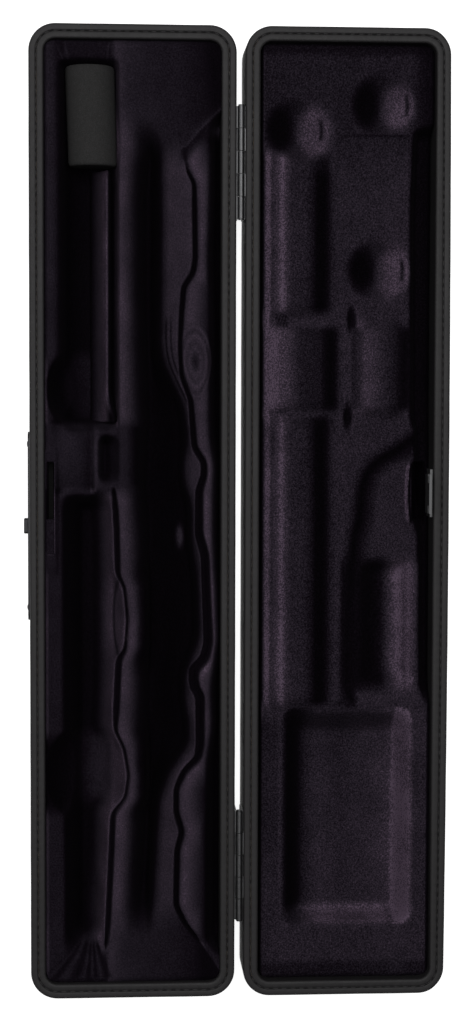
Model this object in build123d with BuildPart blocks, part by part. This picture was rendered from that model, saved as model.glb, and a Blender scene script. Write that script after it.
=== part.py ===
from build123d import *
import math
import os

# A slim flute case, lying open and flat: the base half toward -Y, the lid half toward +Y.
# X runs along the case, from the spacer end to the head-joint end, and Z points up out of both halves.
# The origin is the middle of the base half's underside. All sizes are in millimetres.

# --- driving dimensions -----------------------------------------------------------------------

case_length = 474.0          # along X, over the covering
half_width = 100.0           # one half, from its front wall to its back wall, over the covering
half_depth = 32.0            # one half, from its underside to its rim
outline_radius = 13.0        # corners of the outline, seen from above
under_edge_radius = 3.0      # rounded lower edge of each half
closing_gap = 0.5            # left between the two rims when the case is shut

cover_thickness = 0.8        # leatherette, side band and bottom sheet
wall_thickness = 4.5         # wooden wall ring
board_thickness = 3.0        # wooden bottom board
liner_thickness = 2.0        # wrapped board that lines the wall
rim_band_width = 3.3         # the cover where it turns over the rim
rim_seam_width = 0.5         # stitched groove between the cover and the liner's rolled edge
liner_roll_radius = 1.1      # rolled upper edge of the liner
liner_lap_radius = 0.55      # outer edge of the liner where it laps the wall
sheet_inset = 5.0            # the bottom sheet's edge, in from the outline
hem_step = 0.3               # the side band's hem stays this much above the underside
glue_gap = 0.05              # between glued pieces whose curved faces meet
moving_gap = 0.3             # between pieces that pass each other
cut_overlap = 1.0            # how far a cutting shape runs past what it cuts

# padded trays
lining_thickness = 1.0       # velvet over the tray's core
lip_radius = 2.0             # rolled edge where the lining turns down into a channel
base_tray_drop = 2.0         # base lining below the rim
lid_tray_drop = 4.5          # lid lining below the rim
tray_fit = 0.1               # round the tray, inside the liner

# spacer, in the foot-joint channel
plug_diameter = 24.0
plug_length = 48.7
plug_edge = 0.8
plug_end_gap = 3.7           # from the channel's end to the spacer
plug_rise = 1.0              # the spacer's top above the lining

# channels of the base tray
channel_end_wall = 7.6       # tray left beyond the foot-joint channel
foot_channel_y = -20.5
foot_channel_length = 178.0
foot_bowl_radius = 15.0      # wider part that clears the foot joint's keys
foot_bowl_length = 36.0
foot_bowl_shift = 3.0        # the bowl's axis, from the channel's toward the front wall
foot_bowl_drop = 5.6         # the bowl's axis below the lining
head_channel_y = -22.5
head_channel_radius = 12.3
head_channel_length = 225.0
head_channel_drop = 11.0     # the channel's axis below the lining
head_end_wall = 15.6         # tray left beyond the head-joint channel
lip_bowl_radius = 18.5       # round bowl that clears the lip plate
lip_bowl_from_end = 88.0     # its middle, from the head-joint channel's end
lip_bowl_raise = 1.0         # its middle, above the lining
body_channel_y = 8.0
body_channel_radius = 13.0
body_channel_length = 380.0
body_channel_drop = 10.5     # the channel's axis below the lining
body_start_wall = 45.6       # tray left beyond the body channel's first end
key_shelf_y = 20.0           # shallower channel beside the body channel, for the keys
key_shelf_radius = 14.0
key_shelf_drop = 4.0         # the shelf's axis below the lining
key_shelf_start = 18.0       # from the body channel's start
key_shelf_first = 74.0       # length of the first stretch, up to the cross pad
cross_pad_length = 37.0
key_shelf_second = 245.0
finger_width = 9.0           # finger recess between the two left-hand channels
finger_length = 25.0
finger_depth = 14.0
finger_y = -13.5
finger_corner = 2.0

# pads and recesses of the lid tray; y is measured across the lid from its hinge side
lid_pad_rise = 5.5           # pads above the lid lining
pad_edge = 3.5               # rounded upper edge of a pad
pad_corner = 5.0
pad_inset = 9.5              # near edge of the pads over the body channel
pad_width = 31.0
cap_pad_start = -177.0       # pad over the body joint's first end
cap_pad_length = 77.0
cross_pad_start = -91.0      # pair of pads across the middle of the lid
cross_pads_length = 39.0
far_pad_inset = 54.0
far_pad_width = 28.0
long_pad_start = -49.5       # long pad over the body joint
long_pad_length = 142.0
dish_depth = 8.0             # three round dishes over parts that stand up
dish_radius = 14.0
cap_dish = (-185.5, 27.0)
plug_dish = (-199.5, 68.0)
foot_dish = (-120.5, 66.5)
trench_start = -186.0        # trench beside the lid's front wall
trench_length = 148.0
trench_inset = 80.0
trench_width = 11.0
trench_depth = 9.0
side_recess_start = 21.0     # long recess beside it
side_recess_length = 63.0
side_recess_inset = 61.5
side_recess_width = 25.0
side_recess_depth = 10.0
lower_ground_drop = 3.0      # part of the lid tray that lies below the rest
lower_ground_edge = (        # its edge along the lid: x, and distance from the hinge side
    (-38.0, 82.0), (-27.0, 64.5), (-13.0, 57.5), (11.0, 54.0), (51.0, 51.5), (88.0, 50.5), (93.5, 41.0),
)
pocket_start = 101.0         # rectangular pocket for a cloth or a rod
pocket_length = 99.0
pocket_inset = 22.0
pocket_width = 60.0
pocket_depth = 14.0
pocket_corner = 9.5

# hinges
hinge_end_margin = 65.5      # from each end of the case to the middle of its hinge
hinge_length = 54.0
barrel_radius = 1.75
barrel_side_gap = 0.38       # from the barrel to the back walls
pin_radius = 0.9
pin_clearance = 0.05
pin_head_radius = 1.35
pin_head_length = 0.6
knuckle_count = 5
knuckle_gap = 0.3
leaf_thickness = 0.9
leaf_height = 20.0
leaf_corner = 3.0
leaf_screw_drop = 12.0       # screw line below the hinge axis
leaf_screw_pitch = 20.0
leaf_screw_count = 3

# screws
screw_radius = 1.0
screw_depth = 4.0            # into the wall, beyond the covering
screw_head_radius = 2.0
screw_head_height = 0.7
screw_clearance = 0.05
screw_end_gap = 0.8          # left beyond a screw's end in its hole

# latch, in the base half's front wall
latch_centre = 4.7           # the slide's place when released
latch_height = 20.0          # the slide's middle above the underside
escutcheon_length = 92.0
escutcheon_height = 14.0
escutcheon_thickness = 1.0
escutcheon_corner = 4.0
escutcheon_screw_spacing = 80.0
knob_length = 7.5
knob_height = 6.0
knob_thickness = 1.8
knob_edge = 0.5
stem_length = 3.0
stem_height = 2.6
latch_travel = 6.0
bolt_thickness = 1.2
bolt_end = 16.0              # the bolt's far end when released
bolt_web = 7.0               # length of its upright
bolt_arm_height = 6.0
bolt_arm_drop = 2.5          # the arm's lower edge below the slide's middle
tongue_height = 1.8
housing_wall = 0.8
housing_width = 5.5
housing_end = 22.3
slot_start = -27.4           # mouth for the keeper, along the front wall
slot_end = 1.2

# keeper, on the lid half's front wall
keeper_centre = -11.6
keeper_length = 19.0
keeper_reach = 8.5           # beyond the lid's rim
keeper_thickness = 1.2
keeper_hook = 1.6            # height of the hook below its notch
keeper_notch_height = 2.8
keeper_notch_depth = 4.0
keeper_foot_length = 23.4
keeper_foot_drop = 14.0      # the foot's lower edge below the lid's rim
keeper_bend_drop = 3.0       # where the foot bends out to the tongue, below the lid's rim
keeper_screw_spacing = 16.0
keeper_screw_drop = 9.5
keeper_well_start = -28.0    # hollow in the lid tray round the keeper
keeper_well_length = 31.0
keeper_well_width = 8.0
keeper_well_depth = 15.0
lid_block_joins = (-160.0, -33.0, 97.0)   # where the lid's foam blocks meet

# --- places worked out from them --------------------------------------------------------------

rim_z = half_depth
lining_z = rim_z - base_tray_drop
lid_lining_z = rim_z - lid_tray_drop
pad_z = lid_lining_z + lid_pad_rise
board_top = cover_thickness + board_thickness
wall_inset = cover_thickness + wall_thickness
rim_width = wall_inset + liner_thickness
tray_inset = rim_width + tray_fit
tray_half = case_length / 2 - tray_inset

axis_y = half_width / 2 + barrel_radius + barrel_side_gap
axis_z = rim_z + closing_gap / 2
lid_y = 2 * axis_y                               # middle of the lid half
front_y = -half_width / 2                        # outer face of the base half's front wall
lid_back_y = lid_y - half_width / 2              # outer face of the lid half's hinge side
lid_front_y = lid_y + half_width / 2

foot_channel_start = -tray_half + channel_end_wall
foot_channel_end = foot_channel_start + foot_channel_length
foot_channel_radius = plug_diameter / 2 + moving_gap
foot_channel_z = lining_z + plug_rise - plug_diameter / 2
head_channel_end = tray_half - head_end_wall
head_channel_start = head_channel_end - head_channel_length
head_channel_z = lining_z - head_channel_drop
body_channel_start = -tray_half + body_start_wall
body_channel_end = body_channel_start + body_channel_length
body_channel_z = lining_z - body_channel_drop
plug_start = foot_channel_start + plug_end_gap
finger_x = (foot_channel_end + head_channel_start) / 2

slot_centre_y = front_y + rim_width + housing_width / 2
bolt_arm_low = latch_height - bolt_arm_drop
tongue_low = 2 * axis_z - rim_z - keeper_reach + keeper_hook + (keeper_notch_height - tongue_height) / 2
tongue_high = tongue_low + tongue_height
stem_start = latch_centre - stem_length / 2
housing_low = bolt_arm_low - moving_gap - housing_wall
housing_high = tongue_high + moving_gap

os.makedirs("parts", exist_ok=True)


def save(piece, name):
    """Label a finished sub-part and write it to its own file."""
    piece.part.label = name
    export_step(piece.part, f"parts/{name}.step")


def slab(middle_y, low, high, inset, mode=Mode.ADD):
    """A rounded-corner slab with one half's outline, drawn in by inset."""
    with BuildSketch(Plane((0, middle_y, low))) as outline:
        RectangleRounded(case_length - 2 * inset, half_width - 2 * inset, outline_radius - inset)
    extrude(outline.sketch, amount=high - low, mode=mode)


def blank(middle_y, low, high, inset):
    """One half as a plain block with a rounded lower edge, drawn in by inset."""
    with BuildPart() as block:
        slab(middle_y, low, high, inset)
        fillet(block.faces().sort_by(Axis.Z)[0].edges(), radius=under_edge_radius - inset)
    return block.part


def bar(low, high, mode=Mode.ADD):
    """A box between two corners."""
    size = [b - a for a, b in zip(low, high)]
    middle = [(a + b) / 2 for a, b in zip(low, high)]
    with Locations(tuple(middle)):
        Box(*size, mode=mode)


def rod(start, direction, length, radius, mode=Mode.ADD):
    """A round rod from a point, along a direction."""
    with BuildSketch(Plane(origin=start, z_dir=direction)) as circle:
        Circle(radius)
    extrude(circle.sketch, amount=length, mode=mode)


def screw_holes(spots, outward, depth, clearance):
    """Cut a hole inwards from each screw spot on a face."""
    for spot in spots:
        inward = tuple(-value for value in outward)
        rod(spot, inward, depth, screw_radius + clearance, mode=Mode.SUBTRACT)


def screws(spots, outward, lift, depth):
    """Domed screws seated on a surface that lies lift outside each spot, reaching depth inside it."""
    inward = tuple(-value for value in outward)
    sphere_radius = (screw_head_radius**2 + screw_head_height**2) / (2 * screw_head_height)
    for spot in spots:
        seat = tuple(value + lift * way for value, way in zip(spot, outward))
        rod(seat, inward, lift + depth, screw_radius)
        centre = tuple(v - (sphere_radius - screw_head_height) * way for v, way in zip(seat, outward))
        with BuildPart(mode=Mode.PRIVATE) as dome:
            with Locations(centre):
                Sphere(sphere_radius)
            rod(seat, outward, screw_head_height * 2, screw_head_radius, mode=Mode.INTERSECT)
        add(dome.part)


# --- screw places -----------------------------------------------------------------------------

hinge_middles = (hinge_end_margin - case_length / 2, case_length / 2 - hinge_end_margin)
leaf_screw_z = axis_z - leaf_screw_drop


def leaf_screw_spots(face_y):
    """Screw places of both hinges on one back wall."""
    reach = leaf_screw_pitch * (leaf_screw_count - 1) / 2
    steps = [index * leaf_screw_pitch - reach for index in range(leaf_screw_count)]
    return [(middle + step, face_y, leaf_screw_z) for middle in hinge_middles for step in steps]


base_hinge_spots = leaf_screw_spots(half_width / 2)
lid_hinge_spots = leaf_screw_spots(lid_back_y)
escutcheon_spots = [
    (latch_centre + side * escutcheon_screw_spacing / 2, front_y, latch_height) for side in (-1, 1)
]
keeper_foot_y = lid_front_y - rim_width
keeper_spots = [
    (keeper_centre + side * keeper_screw_spacing / 2, keeper_foot_y, rim_z - keeper_screw_drop)
    for side in (-1, 1)
]
toward_lid = (0, 1, 0)
toward_front = (0, -1, 0)


def stem_slot(near_y, far_y, clearance):
    """Cut the slot that the latch's stem travels in, through everything between two planes."""
    low = (stem_start - latch_travel - clearance, near_y, latch_height - stem_height / 2 - clearance)
    high = (stem_start + stem_length + clearance, far_y, latch_height + stem_height / 2 + clearance)
    bar(low, high, mode=Mode.SUBTRACT)


# --- wooden walls and boards ------------------------------------------------------------------

def wall_ring(middle_y):
    """The wall of one half, with the lower edge rounded to carry the covering."""
    add(blank(middle_y, cover_thickness, rim_z - cover_thickness, cover_thickness))
    slab(middle_y, 0, rim_z, wall_inset, mode=Mode.SUBTRACT)


with BuildPart() as base_wall:
    wall_ring(0)
    screw_holes(base_hinge_spots, toward_lid, cover_thickness + screw_depth, screw_clearance)
    screw_holes(escutcheon_spots, toward_front, cover_thickness + screw_depth, screw_clearance)
    stem_slot(front_y, front_y + wall_inset + glue_gap, moving_gap)
save(base_wall, "base_wall")

with BuildPart() as lid_wall:
    wall_ring(lid_y)
    screw_holes(lid_hinge_spots, toward_front, cover_thickness + screw_depth, screw_clearance)
    screw_holes(keeper_spots, toward_front, liner_thickness + screw_depth, screw_clearance)
save(lid_wall, "lid_wall")

with BuildPart() as base_board:
    slab(0, cover_thickness, board_top, wall_inset + glue_gap)
save(base_board, "base_board")

with BuildPart() as lid_board:
    slab(lid_y, cover_thickness, board_top, wall_inset + glue_gap)
save(lid_board, "lid_board")


# --- leatherette covering ---------------------------------------------------------------------

def side_band(middle_y):
    """The covering of the walls, turned over the rim and hemmed under the rounded lower edge."""
    add(blank(middle_y, 0, rim_z, 0))
    hollow = blank(middle_y, cover_thickness, rim_z - cover_thickness, cover_thickness - glue_gap)
    add(hollow, mode=Mode.SUBTRACT)
    slab(middle_y, cover_thickness, rim_z, rim_band_width, mode=Mode.SUBTRACT)
    slab(middle_y, 0, cover_thickness + glue_gap, sheet_inset - glue_gap, mode=Mode.SUBTRACT)
    bar(
        (-case_length, middle_y - half_width, -cut_overlap),
        (case_length, middle_y + half_width, hem_step),
        mode=Mode.SUBTRACT,
    )


with BuildPart() as base_side_cover:
    side_band(0)
    screw_holes(base_hinge_spots, toward_lid, cover_thickness, screw_clearance)
    screw_holes(escutcheon_spots, toward_front, cover_thickness, screw_clearance)
    stem_slot(front_y, front_y + cover_thickness + glue_gap, moving_gap)
save(base_side_cover, "base_side_cover")

with BuildPart() as lid_side_cover:
    side_band(lid_y)
    screw_holes(lid_hinge_spots, toward_front, cover_thickness, screw_clearance)
save(lid_side_cover, "lid_side_cover")

with BuildPart() as base_bottom_cover:
    slab(0, 0, cover_thickness, sheet_inset)
save(base_bottom_cover, "base_bottom_cover")

with BuildPart() as lid_top_cover:
    slab(lid_y, 0, cover_thickness, sheet_inset)
save(lid_top_cover, "lid_top_cover")


# --- wrapped liners inside the walls ----------------------------------------------------------

def liner(middle_y):
    """A wrapped board inside the wall, with a rolled edge that laps the wall's top."""
    lap = rim_band_width + rim_seam_width
    slab(middle_y, board_top, rim_z, wall_inset + glue_gap)
    slab(middle_y, rim_z - cover_thickness, rim_z, lap)
    slab(middle_y, board_top, rim_z, rim_width, mode=Mode.SUBTRACT)
    top = faces().sort_by(Axis.Z)[-1]
    fillet(top.outer_wire().edges(), radius=liner_lap_radius)
    top = faces().sort_by(Axis.Z)[-1]
    fillet(top.inner_wires()[0].edges(), radius=liner_roll_radius)


with BuildPart() as base_liner:
    liner(0)
    stem_slot(front_y + wall_inset, front_y + rim_width, moving_gap)
save(base_liner, "base_liner")

with BuildPart() as lid_liner:
    liner(lid_y)
    screw_holes(keeper_spots, toward_front, liner_thickness, screw_clearance)
save(lid_liner, "lid_liner")


# --- padded trays -----------------------------------------------------------------------------

def channel(start, end, middle_y, radius, middle_z, level, skin):
    """Cut a straight, round-bottomed channel with rolled lips, grown by the lining's skin."""
    wide = radius + skin
    top = level - skin
    lip = lip_radius - skin
    corner = lip * math.sqrt(0.5)
    with BuildSketch(Plane(origin=(start - skin, middle_y, 0), x_dir=(0, 1, 0), z_dir=(1, 0, 0))) as section:
        with BuildLine():
            Polyline((wide + lip, top), (wide + lip, rim_z), (-wide - lip, rim_z), (-wide - lip, top))
            ThreePointArc((-wide - lip, top), (-wide - lip + corner, top - lip + corner), (-wide, top - lip))
            Line((-wide, top - lip), (-wide, middle_z))
            ThreePointArc((-wide, middle_z), (0, middle_z - wide), (wide, middle_z))
            Line((wide, middle_z), (wide, top - lip))
            ThreePointArc((wide, top - lip), (wide + lip - corner, top - lip + corner), (wide + lip, top))
        make_face()
    extrude(section.sketch, amount=end - start + 2 * skin, mode=Mode.SUBTRACT)


def pocket(start, length, low_y, width, floor, corner, skin):
    """Cut a flat-floored pocket with rounded corners, grown by the lining's skin."""
    with BuildSketch(Plane((start + length / 2, low_y + width / 2, floor - skin))) as outline:
        RectangleRounded(length + 2 * skin, width + 2 * skin, corner + skin)
    extrude(outline.sketch, amount=rim_z - floor + skin, mode=Mode.SUBTRACT)


def ball(centre, radius, mode):
    """A sphere about a point."""
    with Locations(centre):
        Sphere(radius, mode=mode)


def base_tray(skin):
    """The base tray's form: skin is 0 over the velvet, and the lining's thickness for the core."""
    slab(0, board_top, lining_z - skin, tray_inset)
    channel(
        foot_channel_start, foot_channel_end, foot_channel_y, foot_channel_radius,
        foot_channel_z, lining_z, skin,
    )
    channel(
        foot_channel_end - foot_bowl_length, foot_channel_end, foot_channel_y - foot_bowl_shift,
        foot_bowl_radius, lining_z - foot_bowl_drop, lining_z, skin,
    )
    channel(
        head_channel_start, head_channel_end, head_channel_y, head_channel_radius,
        head_channel_z, lining_z, skin,
    )
    lip_bowl_x = head_channel_end - lip_bowl_from_end
    ball((lip_bowl_x, head_channel_y, lining_z + lip_bowl_raise), lip_bowl_radius + skin, Mode.SUBTRACT)
    channel(
        body_channel_start, body_channel_end, body_channel_y, body_channel_radius,
        body_channel_z, lining_z, skin,
    )
    first = body_channel_start + key_shelf_start
    second = first + key_shelf_first + cross_pad_length
    shelf_z = lining_z - key_shelf_drop
    channel(first, first + key_shelf_first, key_shelf_y, key_shelf_radius, shelf_z, lining_z, skin)
    channel(second, second + key_shelf_second, key_shelf_y, key_shelf_radius, shelf_z, lining_z, skin)
    pocket(
        finger_x - finger_length / 2, finger_length, finger_y - finger_width / 2, finger_width,
        lining_z - finger_depth, finger_corner, skin,
    )


def latch_room():
    """Cut the room for the latch housing, and the mouth above it for the keeper."""
    near = front_y + rim_width
    bar(
        (slot_start - housing_wall - moving_gap, near, housing_low - moving_gap),
        (housing_end + moving_gap, near + housing_width + moving_gap, housing_high + housing_wall),
        mode=Mode.SUBTRACT,
    )
    bar(
        (slot_start, near, housing_high),
        (slot_end, near + housing_width - housing_wall, rim_z),
        mode=Mode.SUBTRACT,
    )


with BuildPart() as base_core:
    base_tray(lining_thickness)
    latch_room()
save(base_core, "base_core")

with BuildPart() as base_lining:
    base_tray(0)
    latch_room()
    add(base_core.part, mode=Mode.SUBTRACT)
save(base_lining, "base_lining")


def pad(start, length, low_y, width, skin):
    """A pad with rounded edges that stands on the lid tray."""
    with BuildPart() as cushion:
        with BuildSketch(Plane((start + length / 2, low_y + width / 2, lid_lining_z - skin))) as outline:
            RectangleRounded(length - 2 * skin, width - 2 * skin, pad_corner - skin)
        extrude(outline.sketch, amount=lid_pad_rise)
        fillet(cushion.faces().sort_by(Axis.Z)[-1].edges(), radius=pad_edge - skin)
    return cushion.part


def four_pads(skin):
    """The pads over the body joint and across the middle of the lid."""
    add(pad(cap_pad_start, cap_pad_length, lid_back_y + pad_inset, pad_width, skin))
    add(pad(cross_pad_start, cross_pads_length, lid_back_y + pad_inset, pad_width, skin))
    add(pad(cross_pad_start, cross_pads_length, lid_back_y + far_pad_inset, far_pad_width, skin))
    add(pad(long_pad_start, long_pad_length, lid_back_y + pad_inset, pad_width, skin))


def dish(place, skin):
    """Cut a shallow round dish in the lid tray."""
    radius = (dish_radius**2 + dish_depth**2) / (2 * dish_depth)
    centre = (place[0], lid_back_y + place[1], lid_lining_z - dish_depth + radius)
    ball(centre, radius + skin, Mode.SUBTRACT)


def lower_ground(skin):
    """Cut the lid tray down beyond a curved edge, grown by the lining's skin."""
    edge = [(x - skin, lid_back_y + inset - skin) for x, inset in lower_ground_edge]
    near_y = lid_back_y
    far_y = lid_front_y
    with BuildSketch(Plane.XY.offset(lid_lining_z - lower_ground_drop - skin)) as ground:
        with BuildLine():
            Spline(*edge)
            Polyline(edge[-1], (edge[-1][0], near_y), (case_length / 2, near_y), (case_length / 2, far_y),
                     (edge[0][0], far_y), edge[0])
        make_face()
    extrude(ground.sketch, amount=rim_z - lid_lining_z + lower_ground_drop + skin, mode=Mode.SUBTRACT)


def lid_hollows(skin):
    """Cut the lid tray's dishes, trench, recess and pocket, grown by the lining's skin."""
    for place in (cap_dish, plug_dish, foot_dish):
        dish(place, skin)
    pocket(
        trench_start, trench_length, lid_back_y + trench_inset, trench_width,
        lid_lining_z - trench_depth, lip_radius, skin,
    )
    pocket(
        side_recess_start, side_recess_length, lid_back_y + side_recess_inset, side_recess_width,
        lid_lining_z - side_recess_depth, lip_radius * 2, skin,
    )
    pocket(
        pocket_start, pocket_length, lid_back_y + pocket_inset, pocket_width,
        lid_lining_z - pocket_depth, pocket_corner, skin,
    )


def keeper_well():
    """Cut the hollow in the lid tray that the keeper stands in."""
    bar(
        (keeper_well_start, keeper_foot_y - keeper_well_width, lid_lining_z - keeper_well_depth),
        (keeper_well_start + keeper_well_length, keeper_foot_y + tray_fit, rim_z),
        mode=Mode.SUBTRACT,
    )


with BuildPart() as lid_foam:
    slab(lid_y, board_top, lid_lining_z - lining_thickness, tray_inset)
    lower_ground(lining_thickness)
    lid_hollows(lining_thickness)
    keeper_well()

# the lid's foam is four blocks, glued end to end
block_edges = (-case_length / 2, *lid_block_joins, case_length / 2)
block_names = ("lid_core_spacer_end", "lid_core_foot", "lid_core_middle", "lid_core_head_end")
for block_name, start, end in zip(block_names, block_edges, block_edges[1:]):
    with BuildPart() as foam_block:
        add(lid_foam.part)
        bar((start, lid_back_y, 0), (end, lid_front_y, rim_z), mode=Mode.INTERSECT)
    save(foam_block, block_name)

with BuildPart() as lid_pads:
    four_pads(lining_thickness)
    lid_hollows(lining_thickness)
save(lid_pads, "lid_pads")

with BuildPart() as lid_lining:
    slab(lid_y, board_top, lid_lining_z, tray_inset)
    lower_ground(0)
    four_pads(0)
    lid_hollows(0)
    keeper_well()
    add(lid_foam.part, mode=Mode.SUBTRACT)
    add(lid_pads.part, mode=Mode.SUBTRACT)
save(lid_lining, "lid_lining")

# --- spacer -----------------------------------------------------------------------------------

with BuildPart() as spacer_plug:
    rod((plug_start, foot_channel_y, foot_channel_z), (1, 0, 0), plug_length, plug_diameter / 2)
    fillet(spacer_plug.edges().filter_by(GeomType.CIRCLE), radius=plug_edge)
save(spacer_plug, "spacer_plug")

# --- hinges -----------------------------------------------------------------------------------

knuckle_length = (hinge_length - (knuckle_count - 1) * knuckle_gap) / knuckle_count
knuckle_pitch = knuckle_length + knuckle_gap
base_knuckles = range(0, knuckle_count, 2)
lid_knuckles = range(1, knuckle_count, 2)


def leaf(middle_x, side, own_knuckles):
    """A hinge leaf on one back wall (side -1 for the base, 1 for the lid) with its own knuckles."""
    wall_y = axis_y + side * (barrel_radius + barrel_side_gap)
    inner_y = wall_y - side * leaf_thickness
    first_x = middle_x - hinge_length / 2
    plate_top = axis_z - barrel_radius - 2 * moving_gap
    with BuildSketch(Plane(origin=(middle_x, wall_y, 0), x_dir=(1, 0, 0), z_dir=(0, -1, 0))) as plate:
        with Locations((0, axis_z - leaf_height / 2)):
            RectangleRounded(hinge_length, leaf_height, leaf_corner)
        with Locations((0, plate_top + leaf_height)):
            Rectangle(hinge_length + cut_overlap, 2 * leaf_height, mode=Mode.SUBTRACT)
    extrude(plate.sketch, amount=side * leaf_thickness)
    for index in own_knuckles:
        start = first_x + index * knuckle_pitch
        end = start + knuckle_length
        rod((start, axis_y, axis_z), (1, 0, 0), knuckle_length, barrel_radius)
        low_y, high_y = sorted((wall_y, inner_y))
        bar((start, low_y, plate_top - leaf_thickness), (end, high_y, axis_z - moving_gap))
        low_y, high_y = sorted((wall_y, axis_y))
        bar((start, low_y, axis_z - barrel_radius), (end, high_y, axis_z - moving_gap))
    bore_start = (first_x - cut_overlap, axis_y, axis_z)
    bore_length = hinge_length + 2 * cut_overlap
    rod(bore_start, (1, 0, 0), bore_length, pin_radius + pin_clearance, mode=Mode.SUBTRACT)


def pin(middle_x):
    """A hinge pin with a flat head at each end."""
    start = middle_x - hinge_length / 2
    gap = pin_clearance
    rod((start - gap, axis_y, axis_z), (1, 0, 0), hinge_length + 2 * gap, pin_radius)
    rod((start - gap, axis_y, axis_z), (-1, 0, 0), pin_head_length, pin_head_radius)
    rod((start + hinge_length + gap, axis_y, axis_z), (1, 0, 0), pin_head_length, pin_head_radius)


for end_name, middle in zip(("spacer_end", "head_end"), hinge_middles):
    with BuildPart() as base_leaf:
        leaf(middle, -1, base_knuckles)
        base_face_spots = leaf_screw_spots(half_width / 2 + leaf_thickness)
        screw_holes(base_face_spots, toward_lid, leaf_thickness, screw_clearance)
    save(base_leaf, f"{end_name}_hinge_base_leaf")

    with BuildPart() as lid_leaf:
        leaf(middle, 1, lid_knuckles)
        lid_face_spots = leaf_screw_spots(lid_back_y - leaf_thickness)
        screw_holes(lid_face_spots, toward_front, leaf_thickness, screw_clearance)
    save(lid_leaf, f"{end_name}_hinge_lid_leaf")

    with BuildPart() as hinge_pin:
        pin(middle)
    save(hinge_pin, f"{end_name}_hinge_pin")

with BuildPart() as base_hinge_screws:
    screws(base_hinge_spots, toward_lid, leaf_thickness, cover_thickness + screw_depth - screw_end_gap)
save(base_hinge_screws, "base_hinge_screws")

with BuildPart() as lid_hinge_screws:
    screws(lid_hinge_spots, toward_front, leaf_thickness, cover_thickness + screw_depth - screw_end_gap)
save(lid_hinge_screws, "lid_hinge_screws")

# --- latch ------------------------------------------------------------------------------------

with BuildPart() as latch_escutcheon:
    with BuildSketch(Plane(origin=(latch_centre, front_y, latch_height), x_dir=(1, 0, 0), z_dir=(0, -1, 0))):
        RectangleRounded(escutcheon_length, escutcheon_height, escutcheon_corner)
    extrude(amount=escutcheon_thickness)
    plate_spots = [(x, y - escutcheon_thickness, z) for x, y, z in escutcheon_spots]
    screw_holes(plate_spots, toward_front, escutcheon_thickness, screw_clearance)
    stem_slot(front_y - escutcheon_thickness, front_y, moving_gap)
save(latch_escutcheon, "latch_escutcheon")

with BuildPart() as escutcheon_screws:
    escutcheon_screw_depth = cover_thickness + screw_depth - screw_end_gap
    screws(escutcheon_spots, toward_front, escutcheon_thickness, escutcheon_screw_depth)
save(escutcheon_screws, "escutcheon_screws")

knob_back_y = front_y - escutcheon_thickness - moving_gap
bolt_y = (slot_centre_y - bolt_thickness / 2, slot_centre_y + bolt_thickness / 2)

with BuildPart() as latch_knob:
    knob_back = Plane(origin=(latch_centre, knob_back_y, latch_height), x_dir=(1, 0, 0), z_dir=(0, -1, 0))
    with BuildSketch(knob_back):
        RectangleRounded(knob_length, knob_height, knob_edge * 2)
    extrude(amount=knob_thickness)
    fillet(latch_knob.faces().sort_by(Axis.Y)[0].edges(), radius=knob_edge)
    bar(
        (stem_start, knob_back_y, latch_height - stem_height / 2),
        (stem_start + stem_length, bolt_y[0], latch_height + stem_height / 2),
    )
save(latch_knob, "latch_knob")

with BuildPart() as latch_bolt:
    arm_top = bolt_arm_low + bolt_arm_height
    web_start = bolt_end - bolt_web
    with BuildSketch(Plane(origin=(0, bolt_y[1], 0), x_dir=(1, 0, 0), z_dir=(0, -1, 0))):
        Polygon(
            (slot_end, tongue_low), (web_start, tongue_low), (web_start, arm_top),
            (stem_start, arm_top), (stem_start, bolt_arm_low), (bolt_end, bolt_arm_low),
            (bolt_end, tongue_high), (slot_end, tongue_high),
            align=None,
        )
    extrude(amount=bolt_thickness)
save(latch_bolt, "latch_bolt")

with BuildPart() as latch_housing:
    near_y = front_y + rim_width
    far_y = near_y + housing_width
    bar(
        (slot_start - housing_wall, near_y, housing_low),
        (housing_end, far_y, housing_high + housing_wall),
    )
    bar(
        (slot_start, near_y + housing_wall, housing_low + housing_wall),
        (slot_end, far_y - housing_wall, rim_z),
        mode=Mode.SUBTRACT,
    )
    bar(
        (slot_end - cut_overlap, bolt_y[0] - moving_gap, bolt_arm_low - moving_gap),
        (housing_end - housing_wall, bolt_y[1] + moving_gap, housing_high),
        mode=Mode.SUBTRACT,
    )
    stem_slot(near_y, bolt_y[0], moving_gap)
save(latch_housing, "latch_housing")

# --- keeper -----------------------------------------------------------------------------------

tongue_y = 2 * axis_y - slot_centre_y
keeper_tip = rim_z + keeper_reach
keeper_bend = rim_z - keeper_bend_drop

with BuildPart() as keeper:
    tongue_start = keeper_centre - keeper_length / 2
    tongue_end = keeper_centre + keeper_length / 2
    notch_top = keeper_tip - keeper_hook
    bar(
        (keeper_centre - keeper_foot_length / 2, keeper_foot_y - keeper_thickness, rim_z - keeper_foot_drop),
        (keeper_centre + keeper_foot_length / 2, keeper_foot_y, keeper_bend),
    )
    bar(
        (tongue_start, tongue_y - keeper_thickness / 2, keeper_bend - keeper_thickness),
        (tongue_end, keeper_foot_y, keeper_bend),
    )
    bar(
        (tongue_start, tongue_y - keeper_thickness / 2, keeper_bend - keeper_thickness),
        (tongue_end, tongue_y + keeper_thickness / 2, keeper_tip),
    )
    for edge, inner in ((tongue_end, -keeper_notch_depth), (tongue_start, keeper_notch_depth)):
        low_x, high_x = sorted((edge, edge + inner))
        bar(
            (low_x, tongue_y - keeper_thickness, notch_top - keeper_notch_height),
            (high_x, tongue_y + keeper_thickness, notch_top),
            mode=Mode.SUBTRACT,
        )
    foot_spots = [(x, y - keeper_thickness, z) for x, y, z in keeper_spots]
    screw_holes(foot_spots, toward_front, keeper_thickness, screw_clearance)
save(keeper, "keeper")

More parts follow.
